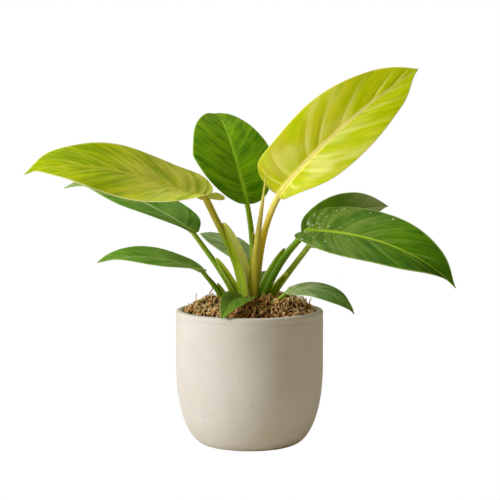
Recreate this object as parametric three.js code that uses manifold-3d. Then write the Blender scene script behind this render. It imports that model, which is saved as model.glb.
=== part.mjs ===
// A potted imperial lemon philodendron: a rosette of lime and green leaves on channelled
// stalks, standing in potting mix under a mulch of dry moss, in a round matte planter.
// Millimetres, +Z up, the origin at the centre of the planter's flat foot. The planter is
// seen from -Y, with +X to the right.
import * as THREE from "three";
import { mergeVertices } from "three/addons/utils/BufferGeometryUtils.js";
import Module from "manifold-3d";

const wasm = await Module();
wasm.setup();

// Driving dimensions, in millimetres
const GAP = 0.3; // left between neighbours that touch
const WELD = 1e-3; // points nearer than this are one
const NEEDLE = 0.05; // a cut's triangles thinner than this are closed up
const POT = {
  radius: 75,
  height: 138,
  footRadius: 43,
  bend: 80, // height at which the side starts to curve in to the foot
  bendPower: 2.1,
  wall: 7,
  floor: 9,
  lip: 2.6, // rounding of the lip
  grooveDrop: 7,
  grooveDepth: 0.4,
  sides: 48,
};
const MOSS = {
  edgeDrop: 3, // the mulch meets the wall this far below the lip
  rise: 17, // its middle above its edge
  lump: 2.2,
  thickness: 20,
  strands: 14,
  seed: 7,
};
const CROWN = { radius: 20, top: 146, bottom: 96, taper: 10 };
const BLADE = {
  thickness: 0.9,
  sinus: 1.2,
  firstRow: 0.04,
  ridgeReach: 0.08,
  widest: 0.36,
  taper: 0.74,
  point: 0.2,
  rowSpacing: 14,
  fewestRows: 8,
};
const BLADE_COLUMNS = [0, BLADE.ridgeReach, 0.38, 0.7, 1];
const STALK = { sides: 8, rings: 8, flattening: 0.82, overrun: 2 };
const SHEATH = { wall: 1.1, rings: 7, tipWidth: 0.7, tipRise: 1.2 };
const SLEEVE_GAP = 0.45; // clearance of the plain sleeves that part neighbouring stalks

const COLOURS = {
  pot: 0xd8d0bf,
  soil: 0x2c2019,
  moss: 0x8a6a45,
  crown: 0x6f7a2c,
  lime: 0xb4bd1c,
  green: 0x3f7a1a,
  dark: 0x3d6b22,
  spear: 0xa9a63a,
};

// The leaves. stalk is the petiole's cubic curve from the crown to the blade, and midrib
// continues it as two handles and the tip. Lists of three hold at the blade's base, middle and
// tip; pairs are for side +1 and side -1. half is a side's width and lobe its reach behind the
// stalk. shoulder sets how full the base is, taper how far the sides stay wide and point how blunt
// the tip is. trim widens each side at every eighth of its margin from the lobe to the tip. In
// degrees, roll leans the upper face towards side +1, fold raises a side beside the midrib and
// droop bends it down again towards its margin. The sheath reaches up the stalk by a share of its
// length, and depth is how far its margins stand from the stalk's axis.
const LEAVES = [
  {
    name: "lime_left",
    tone: "lime",
    stalk: [[-5, -6, 143], [-8, -5, 189], [-22, -9, 206], [-44, -16, 253]],
    radii: [6, 3.8],
    midrib: [[-92, -30, 268], [-166, -52, 303], [-220.5, -66, 279]],
    half: [38, 38],
    point: 0.06,
    lobe: [16, 8],
    trim: [[0, 2, 0.5, -0.5, 2, 0, -4], [1, 7, 1, 1, 3.5, 6.5, 2]],
    roll: [22, 39, 42],
    fold: [[34, 6, 14], [26, 4, 2]],
    droop: 8,
    wave: { height: 4.5, count: 2, phase: -1 },
    sheath: { reach: 0.78, width: 7.6, depth: 9.5, turn: 40 },
  },
  {
    name: "lime_right",
    tone: "lime",
    stalk: [[4.5, 3, 143], [9, 0, 182], [9.5, 8, 218], [30.3, 12, 254]],
    radii: [4.8, 3.3],
    midrib: [[66, 22, 302], [126, 45, 351], [175.5, 60, 381.8]],
    half: [44, 42],
    widest: 0.3,
    point: 0.16,
    lobe: [1.5, 4],
    trim: [[0, 3.5, -3, -1, -0.5, 1.4, 1.2], [-1, -4, 1, -0.5, -1, 0.5, -1.5]],
    roll: [-66, -66, -66],
    fold: [[20, 20, 18], [60, 26, 18]],
    droop: 10,
    wave: { height: 2, count: 2, phase: 0.5 },
    sheath: { reach: 0.6, width: 5.4, depth: 6, turn: -20 },
  },
  {
    name: "green_back",
    tone: "green",
    stalk: [[2, 13, 143], [5, 14, 181], [4, 18, 211], [-2.5, 28, 244]],
    radii: [4, 2.7],
    midrib: [[-13, 42, 284], [-27, 76, 343], [-41, 128, 333]],
    half: [43, 39],
    taper: 0.58,
    shoulder: [0.6, 0.75],
    lobe: [0.5, 0.5],
    trim: [[0.5, 3, 6.5, 3.5, 1.5, -1.7, -4], [0, 1, 1, 1.5, -0.5, -4, -4]],
    roll: [0, 0, 0],
    fold: [[14, 12, 10], [14, 12, 10]],
    droop: 14,
    wave: { height: 1.5, count: 2, phase: 1 },
    sheath: { reach: 0.7, width: 3, depth: 5.6, turn: 0 },
  },
  {
    name: "green_left",
    tone: "dark",
    stalk: [[-11, 4, 144], [-21, 3, 169], [-41, 8, 193], [-58, 10, 216]],
    radii: [4.8, 2.5],
    midrib: [[-78, 17, 231], [-152, 36, 274], [-192, 40, 259]],
    half: [26, 28],
    point: 0.05,
    lobe: [5, 3],
    trim: [[0, -7, -1, 2, -2.5, -7, -7], [-1, 1.5, 0, 0, 0, 0, 0]],
    roll: [25, 25, 25],
    fold: [[44, 12, 34], [-6, 18, 18]],
    droop: 10,
    wave: { height: 3, count: 2.2, phase: 2 },
    sheath: { reach: 0.6, width: 4.6, depth: 5.6, turn: 30 },
  },
  {
    name: "green_low_left",
    tone: "dark",
    stalk: [[-19, -5, 126], [-22.5, -7, 152], [-39, -12, 167], [-47.5, -18, 179]],
    radii: [4.6, 2.4],
    midrib: [[-77, -32, 192], [-109, -46, 202], [-150, -60, 192]],
    half: [20, 20],
    lobe: [1.5, 3],
    trim: [[0, 1, 2, 2.5, 0, -4.5, -5], [0, 3, -1.5, -2.5, -1, 1, 1]],
    roll: [23, 23, 23],
    fold: [[34, 16, 14], [8, 18, 18]],
    droop: 12,
    wave: { height: 1, count: 1.5, phase: 0 },
    sheath: { reach: 0.62, width: 4, depth: 5.4, turn: 20 },
  },
  {
    name: "green_back_left",
    tone: "dark",
    stalk: [[-8, 14, 143], [-7, 16, 160], [-2, 20, 174], [-1, 30, 184]],
    radii: [4.4, 2.4],
    midrib: [[-12, 48, 196], [-31, 66, 202], [-53, 84, 208]],
    half: [17, 14],
    lobe: [4, 2],
    trim: [[0, 0, 0, 0.3, 1, 0.5, 0], [0, 0, 2, 4, 5, 5, 4]],
    roll: [10, 12, 14],
    fold: [[14, 12, 10], [4, 14, 10]],
    droop: 12,
    wave: { height: 1, count: 1.5, phase: 1 },
    sheath: { reach: 0.5, width: 3.6, depth: 4.6, turn: 0 },
  },
  {
    name: "green_back_right",
    tone: "dark",
    stalk: [[17, 7, 143], [25, 6, 157], [45.5, 10, 182], [61.5, 10, 203]],
    radii: [4.8, 2.8],
    midrib: [[80, 24, 212], [104, 58, 241], [147, 85, 237]],
    half: [31, 25],
    point: 0.13,
    lobe: [2, 4],
    trim: [[-2, -6, -2, -0.7, 0.8, 3.4, 2], [-1, 0, 0, 0, 0, 0, 0]],
    roll: [-40, -42, -45],
    fold: [[4, 14, 16], [36, 18, 10]],
    droop: 12,
    wave: { height: 1.5, count: 2, phase: 0 },
    sheath: { reach: 0.56, width: 4.6, depth: 4.4, turn: -40 },
  },
  {
    name: "green_right",
    tone: "green",
    stalk: [[10.5, -5, 143], [17, -7, 163], [32, -10, 197], [59.5, -12, 219.5]],
    radii: [5.6, 3.6],
    midrib: [[106, -32, 220], [161, -52, 210], [202, -72, 168]],
    half: [36, 32.5],
    taper: 0.8,
    point: 0.1,
    lobe: [4, 12],
    trim: [[0, 0, 0, -0.8, -0.8, 1, 0], [-1, -0.5, 1.5, 1, 1.2, -2, -5]],
    roll: [-45, -43, -40],
    fold: [[10, 11, 14], [28, 14, 44]],
    droop: 12,
    wave: { height: 2, count: 2, phase: 0 },
    sheath: { reach: 0.72, width: 5.4, depth: 7.6, turn: -8 },
  },
  {
    name: "green_low_right",
    tone: "dark",
    stalk: [[17, -22, 126], [17, -23, 142], [30, -28, 152], [39, -32, 161]],
    radii: [3.6, 2],
    midrib: [[65, -42, 168], [86, -53, 163], [103, -61, 141]],
    half: [15, 15],
    lobe: [2, 2],
    trim: [[-2, -3, -1.1, -0.9, -0.5, -1, 0], [0, -1, -1, 1, 1.3, -0.7, -1.5]],
    roll: [-26, -24, -22],
    fold: [[4, 4, 8], [8, 8, 8]],
    droop: 12,
    wave: { height: 0.6, count: 1.5, phase: 0 },
    sheath: { reach: 0.6, width: 3, depth: 4, turn: -20 },
  },
  {
    name: "green_front",
    tone: "dark",
    stalk: [[-3, -26, 126], [-2, -27, 138], [-3, -28, 148], [-7, -29, 153]],
    radii: [3.4, 2],
    midrib: [[-14, -43, 154], [-20, -61, 155], [-27, -75, 138]],
    half: [18, 14],
    lobe: [6, 3],
    trim: [[0, 0, 0, 0, 0, 0, 0], [0, -1, -2, -2, -2, -1, 0]],
    roll: [0, 0, 0],
    fold: [[10, 10, 10], [44, 34, 20]],
    droop: 12,
    wave: { height: 0.6, count: 1.5, phase: 0 },
    sheath: { reach: 0.4, width: 2.8, depth: 3.8, turn: 0 },
  },
  {
    name: "green_back_low",
    tone: "dark",
    stalk: [[6, 27, 126], [6, 28, 142], [8, 32, 156], [9, 40, 163]],
    radii: [3.6, 2.2],
    midrib: [[10, 58, 172], [14, 84, 172], [18, 108, 152]],
    half: [16, 16],
    lobe: [4, 4],
    roll: [0, 0, 0],
    fold: [[14, 12, 10], [14, 12, 10]],
    droop: 12,
    wave: { height: 0.8, count: 1.5, phase: 0 },
    sheath: { reach: 0.5, width: 3, depth: 4, turn: 0 },
  },
];
const SPEAR = { spine: [[3.5, -7, 143], [3.5, -8, 188], [11, -10, 228], [16.5, -11, 276]], radii: [6.2, 0.5] };

const point = (p) => new THREE.Vector3(...p);
const mix = THREE.MathUtils.lerp;
const radians = THREE.MathUtils.degToRad;
const cubic = (points) => new THREE.CubicBezierCurve3(...points.map(point));

// A repeatable stream of numbers from 0 to 1
function randomStream(seed) {
  let state = seed >>> 0;
  return () => {
    state = (state * 1664525 + 1013904223) >>> 0;
    return state / 4294967296;
  };
}

// Solids

// A closed geometry as a solid that can be joined and cut
function solidOf(geometry) {
  const bare = new THREE.BufferGeometry();
  bare.setAttribute("position", geometry.getAttribute("position").clone());
  bare.setIndex(geometry.index ? geometry.index.clone() : null);
  const merged = mergeVertices(bare, WELD);
  return new wasm.Manifold(
    new wasm.Mesh({
      numProp: 3,
      vertProperties: merged.attributes.position.array,
      triVerts: new Uint32Array(merged.index.array),
    }),
  );
}

// A solid's largest body as a geometry, so that no loose scrap of a cut is kept
function bodyOf(solid) {
  const bodies = solid.decompose().sort((a, b) => b.volume() - a.volume());
  const mesh = bodies[0].getMesh();
  const positions = new Float32Array(mesh.numVert * 3);
  for (let i = 0; i < mesh.numVert; i++) {
    positions.set(mesh.vertProperties.subarray(i * mesh.numProp, i * mesh.numProp + 3), i * 3);
  }
  const geometry = new THREE.BufferGeometry();
  geometry.setAttribute("position", new THREE.BufferAttribute(positions, 3));
  geometry.setIndex(new THREE.BufferAttribute(mesh.triVerts, 1));
  return geometry;
}

// Welding can part a cut piece at a neck finer than the weld, so the largest body is taken twice
function geometryOf(solid) {
  const joined = solidOf(bodyOf(solid)).simplify(NEEDLE);
  const geometry = bodyOf(solidOf(bodyOf(joined)));
  geometry.computeVertexNormals();
  return geometry;
}

// A closed skin over rings of equally many points, fanned shut at both ends
function loft(rings) {
  const count = rings[0].length;
  const positions = rings.flat().flatMap((p) => [p.x, p.y, p.z]);
  const index = [];
  for (let i = 0; i + 1 < rings.length; i++) {
    for (let j = 0; j < count; j++) {
      const a = i * count + j;
      const b = i * count + ((j + 1) % count);
      index.push(a, b, b + count, a, b + count, a + count);
    }
  }
  const last = (rings.length - 1) * count;
  for (let j = 1; j + 1 < count; j++) {
    index.push(0, j + 1, j, last, last + j, last + j + 1);
  }
  const geometry = new THREE.BufferGeometry();
  geometry.setAttribute("position", new THREE.Float32BufferAttribute(positions, 3));
  geometry.setIndex(index);
  return geometry;
}

function material(colour, roughness) {
  return new THREE.MeshStandardMaterial({ color: colour, roughness, metalness: 0 });
}

function piece(name, geometry, look) {
  const mesh = new THREE.Mesh(geometry, look);
  mesh.name = name;
  return mesh;
}

// The planter

// Outer radius of the planter's side at height z
function potRadius(z) {
  const fall = Math.max(0, 1 - z / POT.bend);
  const share = Math.pow(1 - Math.pow(fall, POT.bendPower), 1 / POT.bendPower);
  return mix(POT.footRadius, POT.radius, share);
}

// Radius of the hollow at height z, with the floor's corner rounded
function hollowRadius(z) {
  const rise = Math.max(0, z - POT.floor);
  return Math.min(potRadius(z) - POT.wall, POT.footRadius - 8 + Math.sqrt(rise) * 6.5);
}

function potProfile() {
  const profile = [new THREE.Vector2(0, 0), new THREE.Vector2(POT.footRadius - 1.5, 0)];
  for (const z of [0.8, 3, 8, 16, 28, 46, POT.bend]) {
    profile.push(new THREE.Vector2(potRadius(z), z));
  }
  const grooveZ = POT.height - POT.grooveDrop;
  profile.push(new THREE.Vector2(POT.radius, grooveZ - 2));
  profile.push(new THREE.Vector2(POT.radius - POT.grooveDepth, grooveZ));
  profile.push(new THREE.Vector2(POT.radius, grooveZ + 2));
  const inner = POT.radius - POT.wall;
  for (const [centre, from, to] of [[POT.radius - POT.lip, 0, 90], [inner + POT.lip, 90, 180]]) {
    for (let angle = from; angle <= to; angle += 45) {
      const x = centre + POT.lip * Math.cos(radians(angle));
      const z = POT.height - POT.lip + POT.lip * Math.sin(radians(angle));
      profile.push(new THREE.Vector2(x, z));
    }
  }
  for (const z of [POT.bend, 46, 28, 16]) {
    profile.push(new THREE.Vector2(hollowRadius(z), z));
  }
  profile.push(new THREE.Vector2(hollowRadius(POT.floor), POT.floor));
  profile.push(new THREE.Vector2(0, POT.floor));
  return profile;
}

function turned(profile, sides) {
  return new THREE.LatheGeometry(profile, sides).rotateX(Math.PI / 2);
}

// Potting mix and mulch

const mulchEdge = POT.height - MOSS.edgeDrop;
const mulchRadius = POT.radius - POT.wall - GAP;
const soilTop = mulchEdge - MOSS.thickness + 8;

function soilProfile() {
  const profile = [new THREE.Vector2(0, POT.floor + GAP)];
  for (const z of [POT.floor + GAP, 16, 28, 46, POT.bend, soilTop]) {
    profile.push(new THREE.Vector2(hollowRadius(z - GAP) - GAP - 0.2, z));
  }
  profile.push(new THREE.Vector2(0, soilTop));
  return profile;
}

// Height of the mulch at a distance and direction from the pot's middle
function mulchHeight(r, angle) {
  const share = r / mulchRadius;
  const heap = MOSS.rise * (1 - Math.pow(share, 2.6));
  const x = r * Math.cos(angle);
  const y = r * Math.sin(angle);
  const broad = Math.sin(x / 7 + 1) * Math.sin(y / 8 + 2) + 0.6 * Math.sin(x / 4.1 - y / 5.3);
  return mulchEdge + heap + MOSS.lump * broad * (1 - Math.pow(share, 6));
}

function mulchBody() {
  const sides = 44;
  const radii = [64.5, 57, 49, 41, 33, 25, 17, 9];
  const ring = (r, height) =>
    Array.from({ length: sides }, (_, k) => {
      const angle = (2 * Math.PI * k) / sides;
      return new THREE.Vector3(r * Math.cos(angle), r * Math.sin(angle), height(r, angle));
    });
  const flat = () => soilTop + GAP;
  const rings = [ring(2, flat), ring(mulchRadius, flat), ring(mulchRadius, mulchHeight)];
  rings.push(...radii.map((r) => ring(r, mulchHeight)));
  rings.push(ring(2, mulchHeight));
  return solidOf(loft(rings));
}

// A curled strand of dry moss that leaves the mulch and dives into it again
function mulchStrand(random) {
  const angle = 2 * Math.PI * random();
  const r = mulchRadius * mix(0.42, 0.9, Math.sqrt(random()));
  const turn = 2 * Math.PI * random();
  const reach = mix(5, 11, random());
  const lift = mix(3, 9, random());
  const start = new THREE.Vector3(r * Math.cos(angle), r * Math.sin(angle), 0);
  start.z = mulchHeight(r, angle) - 2.5;
  const step = new THREE.Vector3(Math.cos(turn), Math.sin(turn), 0).multiplyScalar(reach);
  const far = start.clone().add(step);
  const farR = Math.min(Math.hypot(far.x, far.y), mulchRadius - 3);
  const farAngle = Math.atan2(far.y, far.x);
  const end = new THREE.Vector3(farR * Math.cos(farAngle), farR * Math.sin(farAngle), 0);
  end.z = mulchHeight(farR, farAngle) - 2.5;
  const up = new THREE.Vector3(0, 0, lift + 4);
  const curve = new THREE.CubicBezierCurve3(start, start.clone().add(up), end.clone().add(up), end);
  const rings = [];
  for (let i = 0; i <= 6; i++) {
    const centre = curve.getPoint(i / 6);
    const along = curve.getTangent(i / 6);
    const side = new THREE.Vector3(-step.y, step.x, 0).normalize();
    const out = along.clone().cross(side).normalize();
    rings.push(ringAround(centre, side, out, 4, () => 0.85));
  }
  return solidOf(loft(rings));
}

// Points round a centre, counter-clockwise as seen along side cross out
function ringAround(centre, side, out, sides, radiusAt) {
  return Array.from({ length: sides }, (_, k) => {
    const angle = (2 * Math.PI * k) / sides;
    return centre
      .clone()
      .addScaledVector(side, radiusAt(angle) * Math.cos(angle))
      .addScaledVector(out, radiusAt(angle) * Math.sin(angle));
  });
}

// Stalks

// The direction along a stalk, its flank and its channelled face, which looks at the plant's middle
function stalkFrame(curve, t, inward) {
  const along = curve.getTangent(t);
  const face = inward.clone().addScaledVector(along, -inward.dot(along)).normalize();
  return { along, face, flank: face.clone().cross(along) };
}

function inwardOf(leaf) {
  const [foot, tip] = [leaf.stalk[0], leaf.midrib[2]];
  return new THREE.Vector3(foot[0] - tip[0], foot[1] - tip[1], 0).normalize();
}

function stalkRadius(radii, t) {
  return mix(radii[0], radii[1], Math.pow(t, 0.7));
}

function stalkSolid(leaf) {
  const curve = cubic(leaf.stalk);
  const inward = inwardOf(leaf);
  const rings = [];
  for (let i = 0; i <= STALK.rings; i++) {
    const t = i / STALK.rings;
    const { along, face, flank } = stalkFrame(curve, t, inward);
    const radius = stalkRadius(leaf.radii, t);
    const flattened = mix(STALK.flattening, 0.3, Math.pow(t, 8));
    const section = (angle) => radius * (Math.sin(angle) > 0.5 ? flattened : 1);
    const centre = curve.getPoint(t).addScaledVector(along, i === STALK.rings ? STALK.overrun : 0);
    rings.push(ringAround(centre, flank, face, STALK.sides, section));
  }
  return solidOf(loft(rings)).add(sheathSolid(leaf, curve, inward));
}

// The stalk's frame, turned about its direction so that its channelled face is the sheath's mouth
function sheathFrame(leaf, curve, t, inward) {
  const { along, face, flank } = stalkFrame(curve, t, inward);
  const turn = radians(leaf.sheath.turn);
  return { along, face: face.applyAxisAngle(along, -turn), flank: flank.applyAxisAngle(along, -turn) };
}

// The trough that the stalk's wings make on its inner face, closing to a free tip
function sheathSolid(leaf, curve, inward) {
  const rings = [];
  for (let i = 0; i <= SHEATH.rings; i++) {
    const t = (i / SHEATH.rings) * leaf.sheath.reach;
    const { face, flank } = sheathFrame(leaf, curve, t, inward);
    const { half, wing, seat } = sheathSize(leaf, t);
    const base = curve.getPoint(t).addScaledVector(face, seat);
    const wall = Math.min(SHEATH.wall, wing / 2);
    const inside = base.clone().addScaledVector(face, wall);
    const thin = wall * 0.5;
    const outer = [-2, -1, 0, 1, 2].map((k) => trough(base, flank, face, half, wing, k));
    const inner = [1.6, 0.8, 0, -0.8, -1.6].map((k) =>
      trough(inside, flank, face, Math.max(0.3, half - thin), Math.max(0.3, wing - thin), k),
    );
    rings.push([...outer, ...inner]);
  }
  return solidOf(loft(rings));
}

// Half the sheath's width, the height of its wings and how far its floor is from the stalk's axis
function sheathSize(leaf, t) {
  const share = Math.min(1, t / leaf.sheath.reach);
  const closing = Math.sqrt(1 - Math.pow(share, 3));
  const radius = stalkRadius(leaf.radii, t);
  const seat = mix(-0.4, 0.9, THREE.MathUtils.smoothstep(share, 0.7, 1)) * radius;
  const rim = mix(radius + SHEATH.tipRise, leaf.sheath.depth, closing);
  return { half: mix(SHEATH.tipWidth, leaf.sheath.width, closing), wing: rim - seat, seat };
}

// A point of the trough's curve: k runs from -2 at one wing's edge to 2 at the other's
function trough(base, flank, face, half, wing, k) {
  const angle = (k * Math.PI) / 4;
  return base
    .clone()
    .addScaledVector(flank, half * Math.sin(angle))
    .addScaledVector(face, wing * (1 - Math.cos(angle)));
}

// A plain six-sided sleeve round a stalk and its sheath, which the neighbours keep out of
function sleeveSolid(leaf) {
  const curve = cubic(leaf.stalk);
  const inward = inwardOf(leaf);
  const rings = [];
  for (let i = 0; i <= STALK.rings; i++) {
    const t = i / STALK.rings;
    const { along, face, flank } = sheathFrame(leaf, curve, t, inward);
    const radius = stalkRadius(leaf.radii, t);
    const { half, wing, seat } = sheathSize(leaf, t);
    const sheathed = t <= leaf.sheath.reach + 1 / SHEATH.rings;
    const wide = (sheathed ? Math.max(radius, half) : radius) + SLEEVE_GAP;
    const front = (sheathed ? Math.max(radius, seat + wing) : radius) + SLEEVE_GAP;
    const back = radius + SLEEVE_GAP;
    const centre = curve.getPoint(t).addScaledVector(along, i === 0 ? -GAP : 0);
    const corners = [
      [-0.5 * wide, -back],
      [0.5 * wide, -back],
      [wide, -0.45 * radius],
      [wide, front],
      [-wide, front],
      [-wide, -0.45 * radius],
    ];
    rings.push(corners.map(([x, y]) => centre.clone().addScaledVector(flank, x).addScaledVector(face, y)));
  }
  return solidOf(loft(rings));
}

// Blades

// A value given at the base, middle and tip, at the share t of the midrib
function along3(values, t) {
  const [base, middle, tip] = values;
  return base * (1 - t) * (1 - 2 * t) + middle * 4 * t * (1 - t) + tip * t * (2 * t - 1);
}

// The outline of one side: from beside the stalk round the lobe to the widest place, then to the tip
function outline(leaf, length, v, side) {
  const half = leaf.half[side > 0 ? 0 : 1];
  const lobe = leaf.lobe[side > 0 ? 0 : 1];
  const widest = (leaf.widest ?? BLADE.widest) * length;
  const taper = leaf.taper ?? BLADE.taper;
  const point = leaf.point ?? BLADE.point;
  const shoulder = leaf.shoulder ? leaf.shoulder[side > 0 ? 0 : 1] : 1;
  const split = 0.42;
  const curve =
    v < split
      ? [[0, BLADE.sinus], [-2.3 * lobe, 0.38 * half], [-0.2 * lobe, shoulder * half], [widest, half]]
      : [[widest, half], [taper * length, half], [0.93 * length, point * half], [length, 0.3]];
  const t = v < split ? v / split : (v - split) / (1 - split);
  const plan = new THREE.CubicBezierCurve(...curve.map((p) => new THREE.Vector2(...p)));
  const edge = plan.getPoint(t);
  if (leaf.trim) {
    const trims = [0, ...leaf.trim[side > 0 ? 0 : 1], 0];
    edge.y += new THREE.SplineCurve(trims.map((width) => new THREE.Vector2(0, width))).getPoint(v).y;
  }
  return edge;
}

// Where a line of the blade's weave lies on the flat plan: v picks the side vein, s runs along it
function planPoint(leaf, length, v, s, side) {
  const edge = outline(leaf, length, v, side);
  const root = length * Math.pow(v, 2);
  const bow = -0.12 * length * s * (1 - s) * Math.sin(Math.PI * Math.min(1, v * 1.1));
  return { x: mix(root, edge.x, s) + bow, y: edge.y * s };
}

// A place on the blade's middle surface. side is -1 or 1, and s is 0 on the midrib.
function bladePoint(leaf, curve, length, v, s, side) {
  const { x, y } = planPoint(leaf, length, v, s, side);
  const t = THREE.MathUtils.clamp(x / length, 0, 1);
  const along = curve.getTangent(t);
  const upright = new THREE.Vector3(0, 0, 1).addScaledVector(along, -along.z).normalize();
  const across = upright.clone().cross(along);
  const roll = radians(along3(leaf.roll, t));
  const face = upright.multiplyScalar(Math.cos(roll)).addScaledVector(across, Math.sin(roll));
  const flank = face.clone().cross(along);
  const half = leaf.half[side > 0 ? 0 : 1];
  const fold = radians(along3(leaf.fold[side > 0 ? 0 : 1], t));
  const bend = radians(leaf.droop) / half;
  const out = (Math.sin(fold) - Math.sin(fold - bend * y)) / bend;
  const wave = leaf.wave;
  const ripple = Math.sin(2 * Math.PI * wave.count * v + wave.phase + (side > 0 ? 0 : 2.2));
  const swell = wave.height * s * s * ripple * Math.sin(Math.PI * Math.min(1, v * 1.2));
  const lift = (Math.cos(fold - bend * y) - Math.cos(fold)) / bend + swell;
  return curve
    .getPoint(t)
    .addScaledVector(along, Math.min(x, 0) + Math.max(x - length, 0))
    .addScaledVector(flank, side * out)
    .addScaledVector(face, lift);
}

function bladeSolid(leaf) {
  const curve = cubic([leaf.stalk[3], ...leaf.midrib]);
  const length = curve.getLength();
  const columns = [...BLADE_COLUMNS.slice(1).reverse().map((s) => [s, -1]), ...BLADE_COLUMNS.map((s) => [s, 1])];
  const steps = Math.max(BLADE.fewestRows, Math.round(length / BLADE.rowSpacing));
  const rows = Array.from({ length: steps + 1 }, (_, i) => mix(BLADE.firstRow, 1, i / steps));
  const grid = rows.map((v) => columns.map(([s, side]) => bladePoint(leaf, curve, length, v, s, side)));
  const tops = [];
  const bottoms = [];
  rows.forEach((v, i) => {
    columns.forEach(([s], j) => {
      const before = grid[Math.max(0, i - 1)][j];
      const after = grid[Math.min(rows.length - 1, i + 1)][j];
      const left = grid[i][Math.max(0, j - 1)];
      const right = grid[i][Math.min(columns.length - 1, j + 1)];
      const normal = after.clone().sub(before).cross(right.clone().sub(left)).normalize();
      const ridge = s === 0 ? mix(0.7 * leaf.radii[1], 0.2, v) : 0;
      const half = BLADE.thickness / 2;
      tops.push(grid[i][j].clone().addScaledVector(normal, half));
      bottoms.push(grid[i][j].clone().addScaledVector(normal, -half - ridge));
    });
  });
  const positions = [...tops, ...bottoms].flatMap((p) => [p.x, p.y, p.z]);
  const index = [];
  const wide = columns.length;
  const under = tops.length;
  const quad = (a, b, c, d) => index.push(a, b, c, a, c, d);
  for (let i = 0; i + 1 < rows.length; i++) {
    for (let j = 0; j + 1 < wide; j++) {
      const a = i * wide + j;
      index.push(a, a + wide, a + wide + 1, a, a + wide + 1, a + 1);
      index.push(under + a, under + a + wide + 1, under + a + wide, under + a, under + a + 1, under + a + wide + 1);
    }
    const left = i * wide;
    const right = left + wide - 1;
    quad(left, under + left, under + left + wide, left + wide);
    quad(right, right + wide, under + right + wide, under + right);
  }
  const last = (rows.length - 1) * wide;
  for (let j = 0; j + 1 < wide; j++) {
    quad(j, j + 1, under + j + 1, under + j);
    quad(last + j, under + last + j, under + last + j + 1, last + j + 1);
  }
  const geometry = new THREE.BufferGeometry();
  geometry.setAttribute("position", new THREE.Float32BufferAttribute(positions, 3));
  geometry.setIndex(index);
  return solidOf(geometry);
}

// The new leaf, still rolled up
function spearSolid(grow = 0) {
  const curve = cubic(SPEAR.spine);
  const rings = [];
  for (let i = 0; i <= 14; i++) {
    const t = i / 14;
    const { face, flank } = stalkFrame(curve, t, new THREE.Vector3(-1, 0, 0));
    const radius = mix(SPEAR.radii[0], SPEAR.radii[1], Math.pow(t, 1.2)) + grow;
    rings.push(ringAround(curve.getPoint(t), flank, face, STALK.sides, () => radius));
  }
  return solidOf(loft(rings));
}

function crownSolid(grow = 0) {
  const { radius, top, bottom, taper } = CROWN;
  const outer = radius + grow;
  const profile = [
    new THREE.Vector2(0, bottom - grow),
    new THREE.Vector2(taper + grow, bottom - grow),
    new THREE.Vector2(outer, bottom + 14),
    new THREE.Vector2(outer, top - 5),
    new THREE.Vector2(outer - 4, top - 1 + grow),
    new THREE.Vector2(0, top + grow),
  ];
  return solidOf(turned(profile, 20));
}

// Everything that grows, cut clear of what it touches

const group = new THREE.Group();
const crown = crownSolid();

const stems = [{ name: "spear", solid: spearSolid(), sleeve: spearSolid(GAP), colour: COLOURS.spear }];
for (const leaf of LEAVES) {
  stems.push({
    name: "leaf_" + leaf.name,
    solid: stalkSolid(leaf).add(bladeSolid(leaf)),
    sleeve: sleeveSolid(leaf),
    colour: COLOURS[leaf.tone],
  });
}
stems.forEach((stem, i) => {
  let solid = stem.solid.subtract(crownSolid(GAP));
  stems.slice(0, i).forEach((other) => (solid = solid.subtract(other.sleeve)));
  group.add(piece(stem.name, geometryOf(solid), material(stem.colour, 0.4)));
});
group.add(piece("crown", geometryOf(crown), material(COLOURS.crown, 0.7)));

const random = randomStream(MOSS.seed);
let mulch = mulchBody();
for (let i = 0; i < MOSS.strands; i++) mulch = mulch.add(mulchStrand(random));
for (const stem of stems) mulch = mulch.subtract(stem.sleeve);
mulch = mulch.subtract(crownSolid(GAP));
group.add(piece("moss_mulch", geometryOf(mulch), material(COLOURS.moss, 0.95)));
const soil = solidOf(turned(soilProfile(), 40)).subtract(crownSolid(GAP));
group.add(piece("potting_mix", geometryOf(soil), material(COLOURS.soil, 1)));
group.add(piece("pot", geometryOf(solidOf(turned(potProfile(), POT.sides))), material(COLOURS.pot, 0.75)));

export default group;
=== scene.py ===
"""A potted imperial lemon philodendron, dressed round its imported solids: finely veined leaves on
channelled stalks, a rolled new leaf, a mulch of curled dry moss and a matte cream planter.
The tables of shapes are in millimetres, as in the part's source. The scene itself is in metres."""
import math
from types import SimpleNamespace as Table

import bpy
import numpy as np
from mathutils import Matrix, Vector, noise


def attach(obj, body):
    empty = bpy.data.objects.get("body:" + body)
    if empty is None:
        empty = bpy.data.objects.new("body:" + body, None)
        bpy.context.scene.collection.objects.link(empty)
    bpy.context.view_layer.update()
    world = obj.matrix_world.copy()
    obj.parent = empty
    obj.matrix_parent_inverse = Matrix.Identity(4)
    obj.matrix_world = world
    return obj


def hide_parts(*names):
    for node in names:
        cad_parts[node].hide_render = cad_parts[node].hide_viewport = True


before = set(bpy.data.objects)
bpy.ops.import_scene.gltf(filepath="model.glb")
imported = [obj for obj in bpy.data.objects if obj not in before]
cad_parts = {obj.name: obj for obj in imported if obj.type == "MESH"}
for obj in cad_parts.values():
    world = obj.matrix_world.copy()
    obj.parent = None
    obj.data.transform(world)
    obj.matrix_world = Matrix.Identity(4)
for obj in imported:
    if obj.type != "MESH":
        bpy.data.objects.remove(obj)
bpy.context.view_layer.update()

MM = 0.001

# The photograph's camera, in metres, with the lens worked out for a square frame
CAMERA_AT = (0.0, -1.85, 0.377)
CAMERA_AIM = (0.0004, 0.0, 0.1986)
CAMERA_LENS = 131.6

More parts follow.
